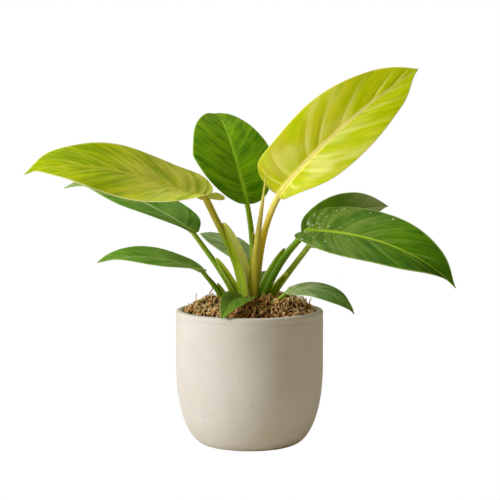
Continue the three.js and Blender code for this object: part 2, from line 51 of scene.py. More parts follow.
# The studio, in metres: one large soft light from the left, weak ones above and at the right, and a
# warm low ambient light
LIGHT_AIM = (0.0, 0.0, 0.2)
LIGHTS = dict(
    key=dict(at=(-1.71, -0.76, 0.95), size=(1.0, 1.0), power=41.6, colour=(0.9, 0.935, 1.0)),
    top=dict(at=(-0.2, 0.3, 1.7), size=(1.2, 0.9), power=7.0, colour=(1.0, 1.0, 1.0)),
    fill=dict(at=(1.6, 0.55, 0.6), size=(1.0, 1.0), power=3.0, colour=(1.0, 0.94, 0.8)),
)
AMBIENT = (1.0, 0.85, 0.46, 1.0)
AMBIENT_STRENGTH = 0.17
FLOOR = (0.88, 0.83, 0.74, 1.0)
FLOOR_REACH = 30.0
BLACK = (0.0, 0.0, 0.0, 1.0)

# How far red, green and blue light pass through tissue, against one another
GLOW_RADIUS = (1.0, 0.9, 0.35)

# The planter
POT = Table(radius=75.0, height=138.0, foot=43.0, bend=80.0, power=2.1, wall=7.0, floor=9.0, lip=2.6,
            groove_drop=7.0, groove_depth=0.4, sides=160)

# The mulch: a lumpy heap with two greener patches, as x, y and size, and a mound of strands, as x, y,
# size and height. BED is its packed surface, STRAND a loose curl and FIBRE one that stands up; placed
# are the fibres at set places, as x, y and height.
MOSS = Table(edge=135.0, radius=67.7, rise=17.0, lump=2.8, strands=1300, stray=34, seed=11,
             green=((-44.0, -26.0, 9.0), (16.0, -48.0, 10.0)), mound=(44, 10, 15, 6.0))
BED = Table(sides=150, rings=46, middle=3.0, bottom=124, drop=2.6, knots=1.9)
STRAND = Table(rings=12, sides=5, reach=(5, 14), width=(0.45, 1.1), flat=(0.2, 0.45), turn=0.52,
               wander=0.45, clear=0.6)
FIBRE = Table(rings=10, sides=4, width=0.42, flat=0.3, thicker=1.9,
              placed=[(-63, -14, 9), (-52, -4, 11), (-41, 4, 11), (-66, -4, 6), (55, 12, 10), (58, 8, 9),
                      (60, 2, 9), (63, -4, 8), (36, 22, 6)])

# The water drops
DROPS = Table(leaf="green_right", count=84, seed=5, sides=12, levels=5, height=0.62,
              sizes=[0.6, 0.9, 1.3], shares=[0.5, 0.33, 0.17])

# Blades: their plan and thickness, and the rows and columns of their mesh. RELIEF is how far from the
# midrib, margin, base and tip the heave between side veins dies out, and its shape.
BLADE = Table(thickness=0.7, thinning=0.04, sinus=1.2, split=0.42, sweep=2.0, bow=-0.12,
              row_spacing=1.4, fewest_rows=90, columns=24, column_bias=1.4,
              last_column=0.987)
RELIEF = Table(rib=0.08, margin=0.5, base=0.06, tip=0.15, round=0.75, middle=0.6, minor=0.1)

# Stalks
STALK = Table(sides=20, rings=40, rib_rings=44, flattening=0.82, channel=0.15)
SHEATH = Table(wall=0.8, rings=44, points=13, tip=0.7, tip_rise=1.2)

# The leaves, as in the part's source: stalk is the petiole's cubic curve and midrib continues it as
# two handles and the tip. Lists of three hold at the blade's base, middle and tip; pairs are for
# side +1 and side -1. A sheath is its reach up the stalk, its half width, the height of its margins
# above the stalk's axis and its turn about the stalk. trim widens each side at every eighth of its
# margin. veins counts the side veins on a side, pleat is how far the blade heaves between them, and rib
# how wide the midrib is against the stalk. A value that is missing is as in PLAIN_LEAF.
PLAIN_LEAF = dict(slot="leaf_dark", widest=0.36, taper=0.74, point=0.2, shoulder=[1, 1], roll=[0, 0, 0],
                  trim=[[0] * 7] * 2, droop=12)
LEAVES = [Table(**{**PLAIN_LEAF, **leaf}) for leaf in (
    dict(name="lime_left", slot="leaf_lime",
         stalk=[[-5, -6, 143], [-8, -5, 189], [-22, -9, 206], [-44, -16, 253]], radii=[6, 3.8],
         midrib=[[-92, -30, 268], [-166, -52, 303], [-220.5, -66, 279]],
         half=[38, 38], point=0.06, lobe=[16, 8], roll=[22, 39, 42],
         trim=[[0, 2, 0.5, -0.5, 2, 0, -4], [1, 7, 1, 1, 3.5, 6.5, 2]],
         fold=[[34, 6, 14], [26, 4, 2]], droop=8, wave=[4.5, 2, -1], sheath=[0.78, 7.6, 9.5, 40],
         veins=11, pleat=0.6, rib=0.5),
    dict(name="lime_right", slot="leaf_lime",
         stalk=[[4.5, 3, 143], [9, 0, 182], [9.5, 8, 218], [30.3, 12, 254]], radii=[4.8, 3.3],
         midrib=[[66, 22, 302], [126, 45, 351], [175.5, 60, 381.8]],
         half=[44, 42], widest=0.3, point=0.16, lobe=[1.5, 4], roll=[-66, -66, -66],
         trim=[[0, 3.5, -3, -1, -0.5, 1.4, 1.2], [-1, -4, 1, -0.5, -1, 0.5, -1.5]],
         fold=[[20, 20, 18], [60, 26, 18]], droop=10, wave=[2, 2, 0.5], sheath=[0.6, 5.4, 6, -20],
         veins=9, pleat=0.6, rib=1.3),
    dict(name="green_back", slot="leaf_green",
         stalk=[[2, 13, 143], [5, 14, 181], [4, 18, 211], [-2.5, 28, 244]], radii=[4, 2.7],
         midrib=[[-13, 42, 284], [-27, 76, 343], [-41, 128, 333]],
         half=[43, 39], taper=0.58, shoulder=[0.6, 0.75], lobe=[0.5, 0.5],
         trim=[[0.5, 3, 6.5, 3.5, 1.5, -1.7, -4], [0, 1, 1, 1.5, -0.5, -4, -4]],
         fold=[[14, 12, 10], [14, 12, 10]], droop=14, wave=[1.5, 2, 1], sheath=[0.7, 3, 5.6, 0],
         veins=9, pleat=0.5, rib=0.85),
    dict(name="green_left",
         stalk=[[-11, 4, 144], [-21, 3, 169], [-41, 8, 193], [-58, 10, 216]], radii=[4.8, 2.5],
         midrib=[[-78, 17, 231], [-152, 36, 274], [-192, 40, 259]],
         half=[26, 28], point=0.05, lobe=[5, 3], roll=[25, 25, 25],
         trim=[[0, -7, -1, 2, -2.5, -7, -7], [-1, 1.5, 0, 0, 0, 0, 0]],
         fold=[[44, 12, 34], [-6, 18, 18]], droop=10, wave=[3, 2.2, 2], sheath=[0.6, 4.6, 5.6, 30],
         veins=9, pleat=0.4, rib=0.7),
    dict(name="green_low_left",
         stalk=[[-19, -5, 126], [-22.5, -7, 152], [-39, -12, 167], [-47.5, -18, 179]], radii=[4.6, 2.4],
         midrib=[[-77, -32, 192], [-109, -46, 202], [-150, -60, 192]],
         half=[20, 20], lobe=[1.5, 3], roll=[23, 23, 23],
         trim=[[0, 1, 2, 2.5, 0, -4.5, -5], [0, 3, -1.5, -2.5, -1, 1, 1]],
         fold=[[34, 16, 14], [8, 18, 18]], wave=[1, 1.5, 0], sheath=[0.62, 4, 5.4, 20],
         veins=7, pleat=0.4, rib=0.7),
    dict(name="green_back_left",
         stalk=[[-8, 14, 143], [-7, 16, 160], [-2, 20, 174], [-1, 30, 184]], radii=[4.4, 2.4],
         midrib=[[-12, 48, 196], [-31, 66, 202], [-53, 84, 208]],
         half=[17, 14], lobe=[4, 2], roll=[10, 12, 14],
         trim=[[0, 0, 0, 0.3, 1, 0.5, 0], [0, 0, 2, 4, 5, 5, 4]],
         fold=[[14, 12, 10], [4, 14, 10]], wave=[1, 1.5, 1], sheath=[0.5, 3.6, 4.6, 0],
         veins=6, pleat=0.3, rib=0.7),
    dict(name="green_back_right",
         stalk=[[17, 7, 143], [25, 6, 157], [45.5, 10, 182], [61.5, 10, 203]], radii=[4.8, 2.8],
         midrib=[[80, 24, 212], [104, 58, 241], [147, 85, 237]],
         half=[31, 25], point=0.13, lobe=[2, 4], roll=[-40, -42, -45],
         trim=[[-2, -6, -2, -0.7, 0.8, 3.4, 2], [-1, 0, 0, 0, 0, 0, 0]],
         fold=[[4, 14, 16], [36, 18, 10]], wave=[1.5, 2, 0], sheath=[0.56, 4.6, 4.4, -40],
         veins=8, pleat=0.5, rib=0.7),
    dict(name="green_right", slot="leaf_green",
         stalk=[[10.5, -5, 143], [17, -7, 163], [32, -10, 197], [59.5, -12, 219.5]], radii=[5.6, 3.6],
         midrib=[[106, -32, 220], [161, -52, 210], [202, -72, 168]],
         half=[36, 32.5], taper=0.8, point=0.1, lobe=[4, 12], roll=[-45, -43, -40],
         trim=[[0, 0, 0, -0.8, -0.8, 1, 0], [-1, -0.5, 1.5, 1, 1.2, -2, -5]],
         fold=[[10, 11, 14], [28, 14, 44]], wave=[2, 2, 0], sheath=[0.72, 5.4, 7.6, -8],
         veins=9, pleat=0.4, rib=0.5),
    dict(name="green_low_right",
         stalk=[[17, -22, 126], [17, -23, 142], [30, -28, 152], [39, -32, 161]], radii=[3.6, 2],
         midrib=[[65, -42, 168], [86, -53, 163], [103, -61, 141]],
         half=[15, 15], lobe=[2, 2], roll=[-26, -24, -22],
         trim=[[-2, -3, -1.1, -0.9, -0.5, -1, 0], [0, -1, -1, 1, 1.3, -0.7, -1.5]],
         fold=[[4, 4, 8], [8, 8, 8]], wave=[0.6, 1.5, 0], sheath=[0.6, 3, 4, -20],
         veins=6, pleat=0.3, rib=0.6),
    dict(name="green_front",
         stalk=[[-3, -26, 126], [-2, -27, 138], [-3, -28, 148], [-7, -29, 153]], radii=[3.4, 2],
         midrib=[[-14, -43, 154], [-20, -61, 155], [-27, -75, 138]],
         half=[18, 14], lobe=[6, 3],
         trim=[[0, 0, 0, 0, 0, 0, 0], [0, -1, -2, -2, -2, -1, 0]],
         fold=[[10, 10, 10], [44, 34, 20]], wave=[0.6, 1.5, 0], sheath=[0.4, 2.8, 3.8, 0],
         veins=6, pleat=0.3, rib=0.5),
    dict(name="green_back_low",
         stalk=[[6, 27, 126], [6, 28, 142], [8, 32, 156], [9, 40, 163]], radii=[3.6, 2.2],
         midrib=[[10, 58, 172], [14, 84, 172], [18, 108, 152]],
         half=[16, 16], lobe=[4, 4],
         fold=[[14, 12, 10], [14, 12, 10]], wave=[0.8, 1.5, 0], sheath=[0.5, 3, 4, 0],
         veins=6, pleat=0.3, rib=0.7),
)]
SPEAR = Table(spine=[[3.5, -7, 143], [3.5, -8, 188], [11, -10, 228], [16.5, -11, 276]], radii=[6.2, 0.5],
              sides=40, rings=70, seam=-1.9, seam_turn=1.3, step=0.14)

# Colours, as seen on a screen from 0 to 255. deep and light are the blade's two tones and pale the
# lighter cast of its base, the leaf's own colour and, where greyish or cream, also a painted sheen; tip
# is its cast at the tip, the leaf's own colour on most leaves but a painted sheen on green_back,
# green_left and green_back_right and a painted shade on green_right. rib is the midrib, edge the margin
# and under the lower face. stalk runs from foot to blade, and trough is the sheath's inner face. streak
# is the contrast of the tones, vein how strongly the side veins are drawn, with a painted shade on one
# flank and a painted highlight on the other, cast how far pale and tip tint, gloss the shader's
# specular level, and sides how much brighter side +1 and side -1 are, painted light that lifts the half
# the lamps leave darker where the two differ. ridge colours the side veins' painted bright
# flank and the painted sheen, and is pale where it is missing; spine is the raised midrib where it
# isn't rib's. sheen is how strongly ridge clouds the blade near its base. A value
# over 255 is painted light: a painted glow on thin tissue that gives back more light than it gets. A
# value that is missing is as in PLAIN_LOOK.
PLAIN_LOOK = dict(streak=0.6, vein=0.2, cast=(0.2, 0.2), gloss=0.2, sides=(1.0, 1.0), sheen=0.0)
LOOKS = {
    "lime_left": dict(deep=(132, 164, 0), light=(200, 212, 14), pale=(240, 234, 132), tip=(158, 182, 0),
        rib=(214, 220, 60), edge=(250, 244, 180), under=(196, 202, 90),
        stalk=[(172, 200, 44), (136, 158, 14), (216, 202, 80)], trough=(304, 318, 168), streak=0.9,
        vein=0.42, cast=(0.45, 0.5), gloss=0.04, sides=(1.14, 1.14), ridge=(224, 228, 80), sheen=0.35),
    "lime_right": dict(deep=(176, 194, 0), light=(208, 212, 34), pale=(182, 178, 44), tip=(162, 182, 0),
        rib=(236, 222, 120), edge=(206, 206, 90), under=(206, 212, 80),
        stalk=[(200, 184, 20), (240, 214, 50), (252, 236, 130)], trough=(250, 240, 120), streak=0.9,
        vein=0.36, cast=(0.8, 0.6), gloss=0.06, sides=(1.72, 1.22), ridge=(238, 236, 150),
        spine=(312, 294, 160), sheen=0.42),
    "green_back": dict(deep=(56, 108, 0), light=(122, 165, 4), pale=(104, 150, 36), tip=(128, 152, 44),
        rib=(156, 200, 40), edge=(140, 176, 30), under=(120, 160, 60),
        stalk=[(156, 184, 40), (152, 180, 20), (150, 190, 30)], trough=(190, 210, 30), streak=0.7,
        vein=0.35, cast=(0.2, 0.5), gloss=0.05, sides=(1.25, 1.25)),
    "green_right": dict(deep=(54, 106, 0), light=(96, 142, 4), pale=(138, 155, 76), tip=(48, 84, 0),
        rib=(170, 204, 50), edge=(190, 206, 120), under=(116, 156, 60),
        stalk=[(88, 128, 0), (100, 144, 6), (150, 184, 44)], trough=(150, 186, 20), streak=0.8, vein=0.34,
        cast=(0.55, 0.9), gloss=0.1),
    "green_left": dict(deep=(70, 128, 6), light=(126, 176, 44), pale=(160, 190, 134), tip=(164, 176, 112),
        rib=(180, 208, 130), edge=(190, 208, 120), under=(130, 160, 90),
        stalk=[(150, 184, 30), (134, 172, 34), (156, 184, 50)], trough=(280, 300, 90), streak=0.7,
        cast=(0.3, 0.7), gloss=0.12, sides=(1.0, 1.05)),
    "green_low_left": dict(deep=(80, 142, 24), light=(140, 194, 70), pale=(200, 202, 144),
        tip=(140, 180, 50), rib=(176, 206, 124), edge=(196, 214, 120), under=(160, 184, 120),
        stalk=[(104, 144, 16), (118, 160, 26), (136, 176, 40)], trough=(146, 186, 40), cast=(0.3, 0.3),
        sides=(1.05, 1.05)),
    "green_back_left": dict(deep=(124, 160, 84), light=(184, 210, 140), pale=(170, 196, 130),
        tip=(170, 196, 130), rib=(196, 214, 160), edge=(200, 214, 150), under=(156, 180, 116),
        stalk=[(140, 172, 50), (130, 164, 44), (140, 172, 60)], trough=(160, 192, 60)),
    "green_back_right": dict(deep=(60, 108, 0), light=(112, 154, 20), pale=(110, 150, 44),
        tip=(176, 188, 136), rib=(150, 180, 60), edge=(160, 190, 70), under=(130, 156, 80),
        stalk=[(180, 214, 40), (170, 200, 50), (170, 196, 70)], trough=(280, 300, 90), streak=0.5,
        cast=(0.2, 0.7), gloss=0.12, sides=(1.05, 1.05)),
    "green_low_right": dict(deep=(76, 122, 40), light=(120, 160, 76), pale=(194, 190, 150),
        tip=(104, 144, 30), rib=(144, 172, 96), edge=(176, 194, 110), under=(140, 160, 96),
        stalk=[(130, 170, 26), (136, 176, 30), (140, 174, 40)], trough=(160, 194, 50), streak=0.5,
        vein=0.15, cast=(0.6, 0.6), gloss=0.25),
    "green_front": dict(deep=(56, 102, 14), light=(112, 140, 42), pale=(110, 136, 60), tip=(120, 160, 30),
        rib=(120, 164, 44), edge=(170, 200, 60), under=(124, 156, 70),
        stalk=[(110, 160, 30), (110, 160, 30), (120, 164, 50)], trough=(150, 180, 60), cast=(0.2, 0.4),
        gloss=0.15, sides=(1.03, 1.0)),
    "green_back_low": dict(deep=(60, 108, 30), light=(114, 150, 54), pale=(130, 160, 90),
        tip=(110, 144, 50), rib=(160, 184, 100), edge=(160, 184, 90), under=(130, 156, 80),
        stalk=[(110, 150, 26), (114, 154, 30), (120, 158, 40)], trough=(140, 174, 50)),
}

# Earthy stuffs in two tones. grain is the noise's scale, detail and roughness, and bump its strength
# and its depth in metres.
CRUMBLY = {
    # The moss bed's dark tones are painted shade for the gaps between the strands
    "moss_bed_painted_shade": Table(grain=(420.0, 5.0, 0.7), dark=(24, 15, 8), pale=(90, 64, 36),
                      bump=(0.8, 0.0015), rough=0.95, gloss=0.2),
    "potting_mix": Table(grain=(300.0, 5.0, 0.7), dark=(28, 18, 12), pale=(70, 50, 34),
                         bump=(0.8, 0.0015), rough=0.95, gloss=0.2),
    "crown": Table(grain=(140.0, 4.0, 0.6), dark=(74, 50, 26), pale=(120, 124, 44),
                   bump=(0.6, 0.001), rough=0.7, gloss=0.3),
}


def linear(colour):
    """A screen colour from 0 to 255 as the linear colour that the shader takes."""
    values = [c / 255 for c in colour]
    return tuple(c / 12.92 if c <= 0.04045 else ((c + 0.055) / 1.055) ** 2.4 for c in values) + (1.0,)


# Meshes

def add_object(name, data):
    """A new object in the scene."""
    made = bpy.data.objects.new(name, data)
    bpy.context.scene.collection.objects.link(made)
    return made


def make_piece(name, points, faces, look, attributes, node):
    """A smooth mesh piece from points in millimetres, riding on the part's one body."""
    mesh = bpy.data.meshes.new(name)
    mesh.from_pydata((np.asarray(points, float) * MM).tolist(), [], faces)
    for key, values in attributes.items():
        layer = mesh.attributes.new(key, "FLOAT_VECTOR", "POINT")
        layer.data.foreach_set("vector", np.asarray(values, np.float32).ravel())
    mesh.polygons.foreach_set("use_smooth", [True] * len(mesh.polygons))
    mesh.materials.append(look)
    mesh.validate()
    mesh.update()
    piece = add_object(name, mesh)
    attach(piece, "root")
    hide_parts(node)


def around(sides):
    """Angles spaced evenly round a full turn."""
    return np.linspace(0, 2 * np.pi, sides, endpoint=False)


def level_ring(radius, z, sides):
    """A level circle round the pot's axis."""
    angle = around(sides)
    return np.stack([radius * np.cos(angle), radius * np.sin(angle), np.full(sides, z)], axis=-1)


def rings_round(centre, flank, face, wide, high):
    """The points of rings round each centre, with their offsets along its flank and its face."""
    points = centre[:, None] + wide[..., None] * flank[:, None] + high[..., None] * face[:, None]
    return points.reshape(-1, 3)


def loft_faces(rings, sides):
    """Quads round a closed tube of rings, with its two ends shut."""
    faces = []
    for i in range(rings - 1):
        for j in range(sides):
            a = i * sides + j
            b = i * sides + (j + 1) % sides
            faces.append((a, b, b + sides, a + sides))
    faces.append(tuple(reversed(range(sides))))
    faces.append(tuple(range((rings - 1) * sides, rings * sides)))
    return faces


def many_faces(tubes, rings, sides):
    """The faces of many equal tubes, one after another."""
    one = loft_faces(rings, sides)
    return [tuple(index + i * rings * sides for index in face) for i in range(tubes) for face in one]


# Curves and frames

def bezier(points, t):
    """Points of a cubic curve at the shares t."""
    t = np.asarray(t, float)[..., None]
    p = np.asarray(points, float)
    return (1 - t) ** 3 * p[0] + 3 * (1 - t) ** 2 * t * p[1] + 3 * (1 - t) * t * t * p[2] + t ** 3 * p[3]


def tangent(points, t):
    """Unit directions along a cubic curve."""
    t = np.asarray(t, float)[..., None]
    p = np.asarray(points, float)
    d = (1 - t) ** 2 * (p[1] - p[0]) + 2 * (1 - t) * t * (p[2] - p[1]) + t * t * (p[3] - p[2])
    return unit(d)


def unit(v):
    return v / np.linalg.norm(v, axis=-1, keepdims=True)


def curve_length(points):
    steps = np.diff(bezier(points, np.linspace(0, 1, 400)), axis=0)
    return float(np.linalg.norm(steps, axis=1).sum())


def through(values, share):
    """A smooth curve through evenly spaced values."""
    p = np.array(values, float)
    last = len(p) - 1
    x = np.clip(share, 0, 1) * last
    i = np.minimum(x.astype(int), last - 1)
    w = x - i
    before, here, after, beyond = (p[np.clip(i + k, 0, last)] for k in (-1, 0, 1, 2))
    rise, fall = (after - before) / 2, (beyond - here) / 2
    return ((2 * here - 2 * after + rise + fall) * w ** 3
            + (-3 * here + 3 * after - 2 * rise - fall) * w * w + rise * w + here)


def along3(values, t):
    """A curve through values at the base, the middle and the tip."""
    base, middle, tip = values
    return base * (1 - t) * (1 - 2 * t) + middle * 4 * t * (1 - t) + tip * t * (2 * t - 1)


def smooth(edge0, edge1, x):
    """Eases from 0 to 1 between two edges."""
    t = np.clip((x - edge0) / (edge1 - edge0), 0, 1)
    return t * t * (3 - 2 * t)


def bell(x, y, size):
    return math.exp(-(x ** 2 + y ** 2) / size ** 2)


# Blades

def midrib_curve(leaf):
    """The midrib's cubic curve, which goes on from the end of the stalk."""
    return [leaf.stalk[3]] + leaf.midrib


def leaf_outline(leaf, length, v, side):
    """The plan of one side's margin at the side-vein coordinate v."""
    k = 0 if side > 0 else 1
    half, lobe = leaf.half[k], leaf.lobe[k]
    widest, taper = leaf.widest * length, leaf.taper * length
    shoulder = leaf.shoulder[k] * half
    split = BLADE.split
    first = [[0, BLADE.sinus], [-2.3 * lobe, 0.38 * half], [-0.2 * lobe, shoulder], [widest, half]]
    second = [[widest, half], [taper, half], [0.93 * length, leaf.point * half], [length, 0.3]]
    near_base = bezier(first, np.clip(v / split, 0, 1))
    near_tip = bezier(second, np.clip((v - split) / (1 - split), 0, 1))
    edge = np.where((v < split)[..., None], near_base, near_tip)
    edge[..., 1] += through([0] + leaf.trim[k] + [0], v)
    return edge


def blade_frame(leaf, curve, t):
    """Direction, upward face and flank of the blade along its midrib."""
    along = tangent(curve, t)
    upright = unit(np.array([0, 0, 1.0]) - along * along[..., 2:3])
    across = np.cross(upright, along)
    roll = np.radians(along3(leaf.roll, t))[..., None]
    face = upright * np.cos(roll) + across * np.sin(roll)
    return along, face, np.cross(face, along)


def blade_points(leaf, v, s, side):
    """The blade's middle surface. side is -1 or 1, and s is 0 on the midrib and 1 on the margin."""
    k = 0 if side > 0 else 1
    curve = midrib_curve(leaf)
    length = curve_length(curve)
    edge = leaf_outline(leaf, length, v, side)
    root = length * v ** BLADE.sweep
    bow = BLADE.bow * length * s * (1 - s) * np.sin(np.pi * np.minimum(1, 1.1 * v))
    x = root * (1 - s) + edge[..., 0] * s + bow
    y = edge[..., 1] * s
    share = np.clip(x / length, 0, 1)
    along, face, flank = blade_frame(leaf, curve, share)
    fold = np.radians(along3(leaf.fold[k], share))
    bend = math.radians(leaf.droop) / leaf.half[k]
    out = (np.sin(fold) - np.sin(fold - bend * y)) / bend
    height, count, phase = leaf.wave
    ripple = np.sin(2 * np.pi * count * v + phase + (0 if side > 0 else 2.2))
    swell = height * s * s * ripple * np.sin(np.pi * np.minimum(1, 1.2 * v))
    lift = (np.cos(fold - bend * y) - np.cos(fold)) / bend + swell
    past = np.minimum(x, 0) + np.maximum(x - length, 0)
    place = (bezier(curve, share) + along * past[..., None] + flank * (side * out)[..., None]
             + face * lift[..., None])
    return place, x, y


def vein_lines(leaf, v, side):
    """Counts side veins from the base, whole on each vein, with the depth of the valley they lie in."""
    count = leaf.veins
    rng = np.random.default_rng(count * 10 + side + LEAVES.index(leaf))
    order = np.arange(-1, count + 2)
    places = (order + (0.3 if side > 0 else 0.7) + rng.uniform(-0.22, 0.22, len(order))) / count
    phase = np.interp(v, places, order)
    return phase, np.interp(phase, order, rng.uniform(0.5, 1.3, len(order)))


def blade_relief(leaf, phase, depth, s, v_line):
    """How far the blade heaves between its side veins. It lies flat at its midrib, margin and ends."""
    window = np.clip(s / RELIEF.rib, 0, 1) * np.clip((1 - s) / RELIEF.margin, 0, 1) ** 0.8
    window *= np.clip(v_line / RELIEF.base, 0, 1)[:, None]
    window *= np.clip((1 - v_line) / RELIEF.tip, 0, 1)[:, None]
    pillow = np.abs(np.sin(np.pi * phase)) ** RELIEF.round - RELIEF.middle
    minor = np.abs(np.sin(4 * np.pi * phase)) - RELIEF.middle
    return leaf.pleat * (depth * pillow + RELIEF.minor * minor) * window


def blade_faces(place):
    """Quads over both faces of a grid of points and round its rim. A quad is split at its first corner,
    so each one starts on its shorter diagonal."""
    slant = (np.linalg.norm(place[:-1, :-1] - place[1:, 1:], axis=-1)
             < np.linalg.norm(place[1:, :-1] - place[:-1, 1:], axis=-1))
    rows, cols = place.shape[:2]
    under = rows * cols
    faces = []
    for i in range(rows - 1):
        for j in range(cols - 1):
            a = i * cols + j
            plain = (a, a + cols, a + cols + 1, a + 1)
            turned = plain[1:] + plain[:1]
            upper, lower = (plain, turned) if slant[i, j] else (turned, plain)
            faces.append(upper)
            faces.append(tuple(under + k for k in reversed(lower)))
        a = i * cols
        b = a + cols - 1
        faces.append((a, under + a, under + a + cols, a + cols))
        faces.append((b, b + cols, under + b + cols, under + b))
    last = (rows - 1) * cols
    for j in range(cols - 1):
        faces.append((j, j + 1, under + j + 1, under + j))
        faces.append((last + j, under + last + j, under + last + j + 1, last + j + 1))
    return faces


def make_blade(leaf):
    """A leaf's blade: both faces with their side veins in relief, over one middle surface."""
    length = curve_length(midrib_curve(leaf))
    rows = max(BLADE.fewest_rows, round(length / BLADE.row_spacing)) + 1
    v_line = np.linspace(0, 1, rows)
    s_line = np.linspace(0, 1, BLADE.columns + 1) ** BLADE.column_bias
    s_line = np.insert(s_line, -1, BLADE.last_column)
    parts = []
    for side, order in ((-1, s_line[::-1][:-1]), (1, s_line)):
        v, s = np.meshgrid(v_line, order, indexing="ij")
        place, x, y = blade_points(leaf, v, s, side)
        phase, depth = vein_lines(leaf, v, side)
        parts.append((place, phase, depth, s, x / length, y * side))
    place, phase, depth, s, run, y = (np.concatenate(pair, axis=1) for pair in zip(*parts))
    normal = unit(np.cross(np.gradient(place, axis=0), np.gradient(place, axis=1)))
    heave = blade_relief(leaf, phase, depth, s, v_line)
    thick = BLADE.thickness * (0.5 + 0.5 * np.clip((1 - s) / BLADE.thinning, 0, 1))
    top = place + normal * (thick / 2 + heave)[..., None]
    bottom = place - normal * (thick / 2 - heave)[..., None]
    weave = np.stack([phase, s, np.ones_like(s)], axis=-1).reshape(-1, 3)
    where = np.stack([run, np.abs(y), np.sign(y)], axis=-1).reshape(-1, 3)
    make_piece("blade_" + leaf.name, np.concatenate([top.reshape(-1, 3), bottom.reshape(-1, 3)]),
               blade_faces(place), blade_look(leaf),
               {"weave": np.concatenate([weave, weave * [1, 1, 0]]), "where": np.tile(where, (2, 1))},
               "leaf_" + leaf.name)


# Stalks

def stalk_inward(leaf):
    """The level direction from the blade's tip back to the stalk's foot."""
    d = np.array(leaf.stalk[0], float) - np.array(leaf.midrib[2], float)
    d[2] = 0
    return d / np.linalg.norm(d)


def stalk_frame(curve, t, inward):
    """Direction, channelled face and flank along a stalk."""
    along = tangent(curve, t)
    face = unit(inward - along * (along @ inward)[..., None])
    return along, face, np.cross(face, along)


def stalk_radius(radii, t):
    return radii[0] + (radii[1] - radii[0]) * t ** 0.7


def rib_width(leaf, share):
    """Half the midrib's width at a share of the blade's length."""
    narrowing = 1 + (leaf.rib - 1) * smooth(0, 0.12, share)
    return leaf.radii[1] * narrowing * (1 - share) ** 0.85 + 0.25


def petiole_rings(leaf, angle):
    """Rings of the channelled petiole, which turns to the blade's face at its top, and their shares."""
    petiole = leaf.stalk
    t = np.linspace(0, 1, STALK.rings)
    along, face, _ = stalk_frame(petiole, t, stalk_inward(leaf))
    _, blade_face, _ = blade_frame(leaf, midrib_curve(leaf), np.array([0.0]))
    turn = smooth(0.7, 1.0, t)[:, None]
    face = face * (1 - turn) + blade_face * turn
    face = unit(face - along * (face * along).sum(-1, keepdims=True))
    radius = stalk_radius(leaf.radii, t)[:, None]
    channel = (STALK.channel * smooth(0.15, 0.5, t) * (1 - smooth(0.8, 1, t)))[:, None]
    wide, up = np.cos(angle), np.sin(angle)
    squash = np.where(up > 0, STALK.flattening - channel * np.exp(-(wide / 0.4) ** 2), 1.0)
    centre, flank = bezier(petiole, t), np.cross(face, along)
    return rings_round(centre, flank, face, radius * wide, radius * up * squash), t


def midrib_rings(leaf, angle):
    """Rings of the midrib, sunk into the blade so that a pale band shows on top, and their shares."""
    curve = midrib_curve(leaf)
    share = np.linspace(0, 1, STALK.rib_rings)[1:]
    _, face, flank = blade_frame(leaf, curve, share)
    width = rib_width(leaf, share)
    sink = smooth(0, 0.1, share)
    upper = STALK.flattening * width * (1 - sink) + (0.4 + 0.25 * width) * sink
    lower = width * (1 - sink) + (0.5 + 0.75 * width) * sink
    up = np.sin(angle)
    height = up * np.where(up > 0, upper[:, None], lower[:, None])
    wide = width[:, None] * np.cos(angle)
    return rings_round(bezier(curve, share), flank, face, wide, height), 1 + share


def make_stalk(leaf):
    """The petiole, running on under the blade as its midrib."""
    angle = around(STALK.sides)
    petiole, low = petiole_rings(leaf, angle)
    midrib, high = midrib_rings(leaf, angle)
    run = np.concatenate([low, high])
    where = np.stack(np.broadcast_arrays(run[:, None], angle / (2 * np.pi), 0.0), axis=-1)
    make_piece("stalk_" + leaf.name, np.concatenate([petiole, midrib]), loft_faces(len(run), STALK.sides),
               stalk_look(leaf), {"where": where}, "leaf_" + leaf.name)


def make_sheath(leaf):
    """The wings at a stalk's foot, a thin trough on its inner face that closes to a free tip."""
    curve = leaf.stalk
    inward = stalk_inward(leaf)
    reach, width, depth, turn = leaf.sheath
    turn = math.radians(turn)
    wall = SHEATH.wall
    bow = np.linspace(-np.pi / 2, np.pi / 2, SHEATH.points)
    inner = bow[::-1] * 0.97
    across = np.concatenate([bow, bow[::-1]]) / np.pi
    inside = np.repeat([0.0, 1.0], len(bow))
    points, where = [], []
    for share in np.linspace(0, 1, SHEATH.rings):
        t = share * reach
        closing = math.sqrt(max(0, 1 - share ** 3))
        radius = float(stalk_radius(leaf.radii, np.array(t)))
        half = SHEATH.tip + (width - SHEATH.tip) * closing
        seat = (-0.4 + 1.3 * smooth(0.7, 1, share)) * radius
        wing = (radius + SHEATH.tip_rise) * (1 - closing) + depth * closing - seat
        _, face, flank = stalk_frame(curve, np.array([t]), inward)
        out = face * math.cos(turn) + flank * math.sin(turn)
        aside = flank * math.cos(turn) - face * math.sin(turn)
        wide = np.concatenate([half * np.sin(bow), max(0.2, half - 0.6 * wall) * np.sin(inner)])
        high = np.concatenate([wing * (1 - np.cos(bow)), wall * 0.5 * (1 + np.cos(inner))
                               + max(0.2, wing - 0.3) * (1 - np.cos(inner))])
        points.append(bezier(curve, t) + out * seat + wide[:, None] * aside + high[:, None] * out)
        where.append(np.stack([np.full(len(across), t), across, inside], axis=-1))
    make_piece("sheath_" + leaf.name, np.concatenate(points), loft_faces(len(points), len(across)),
               sheath_look(leaf), {"where": np.concatenate(where)}, "leaf_" + leaf.name)


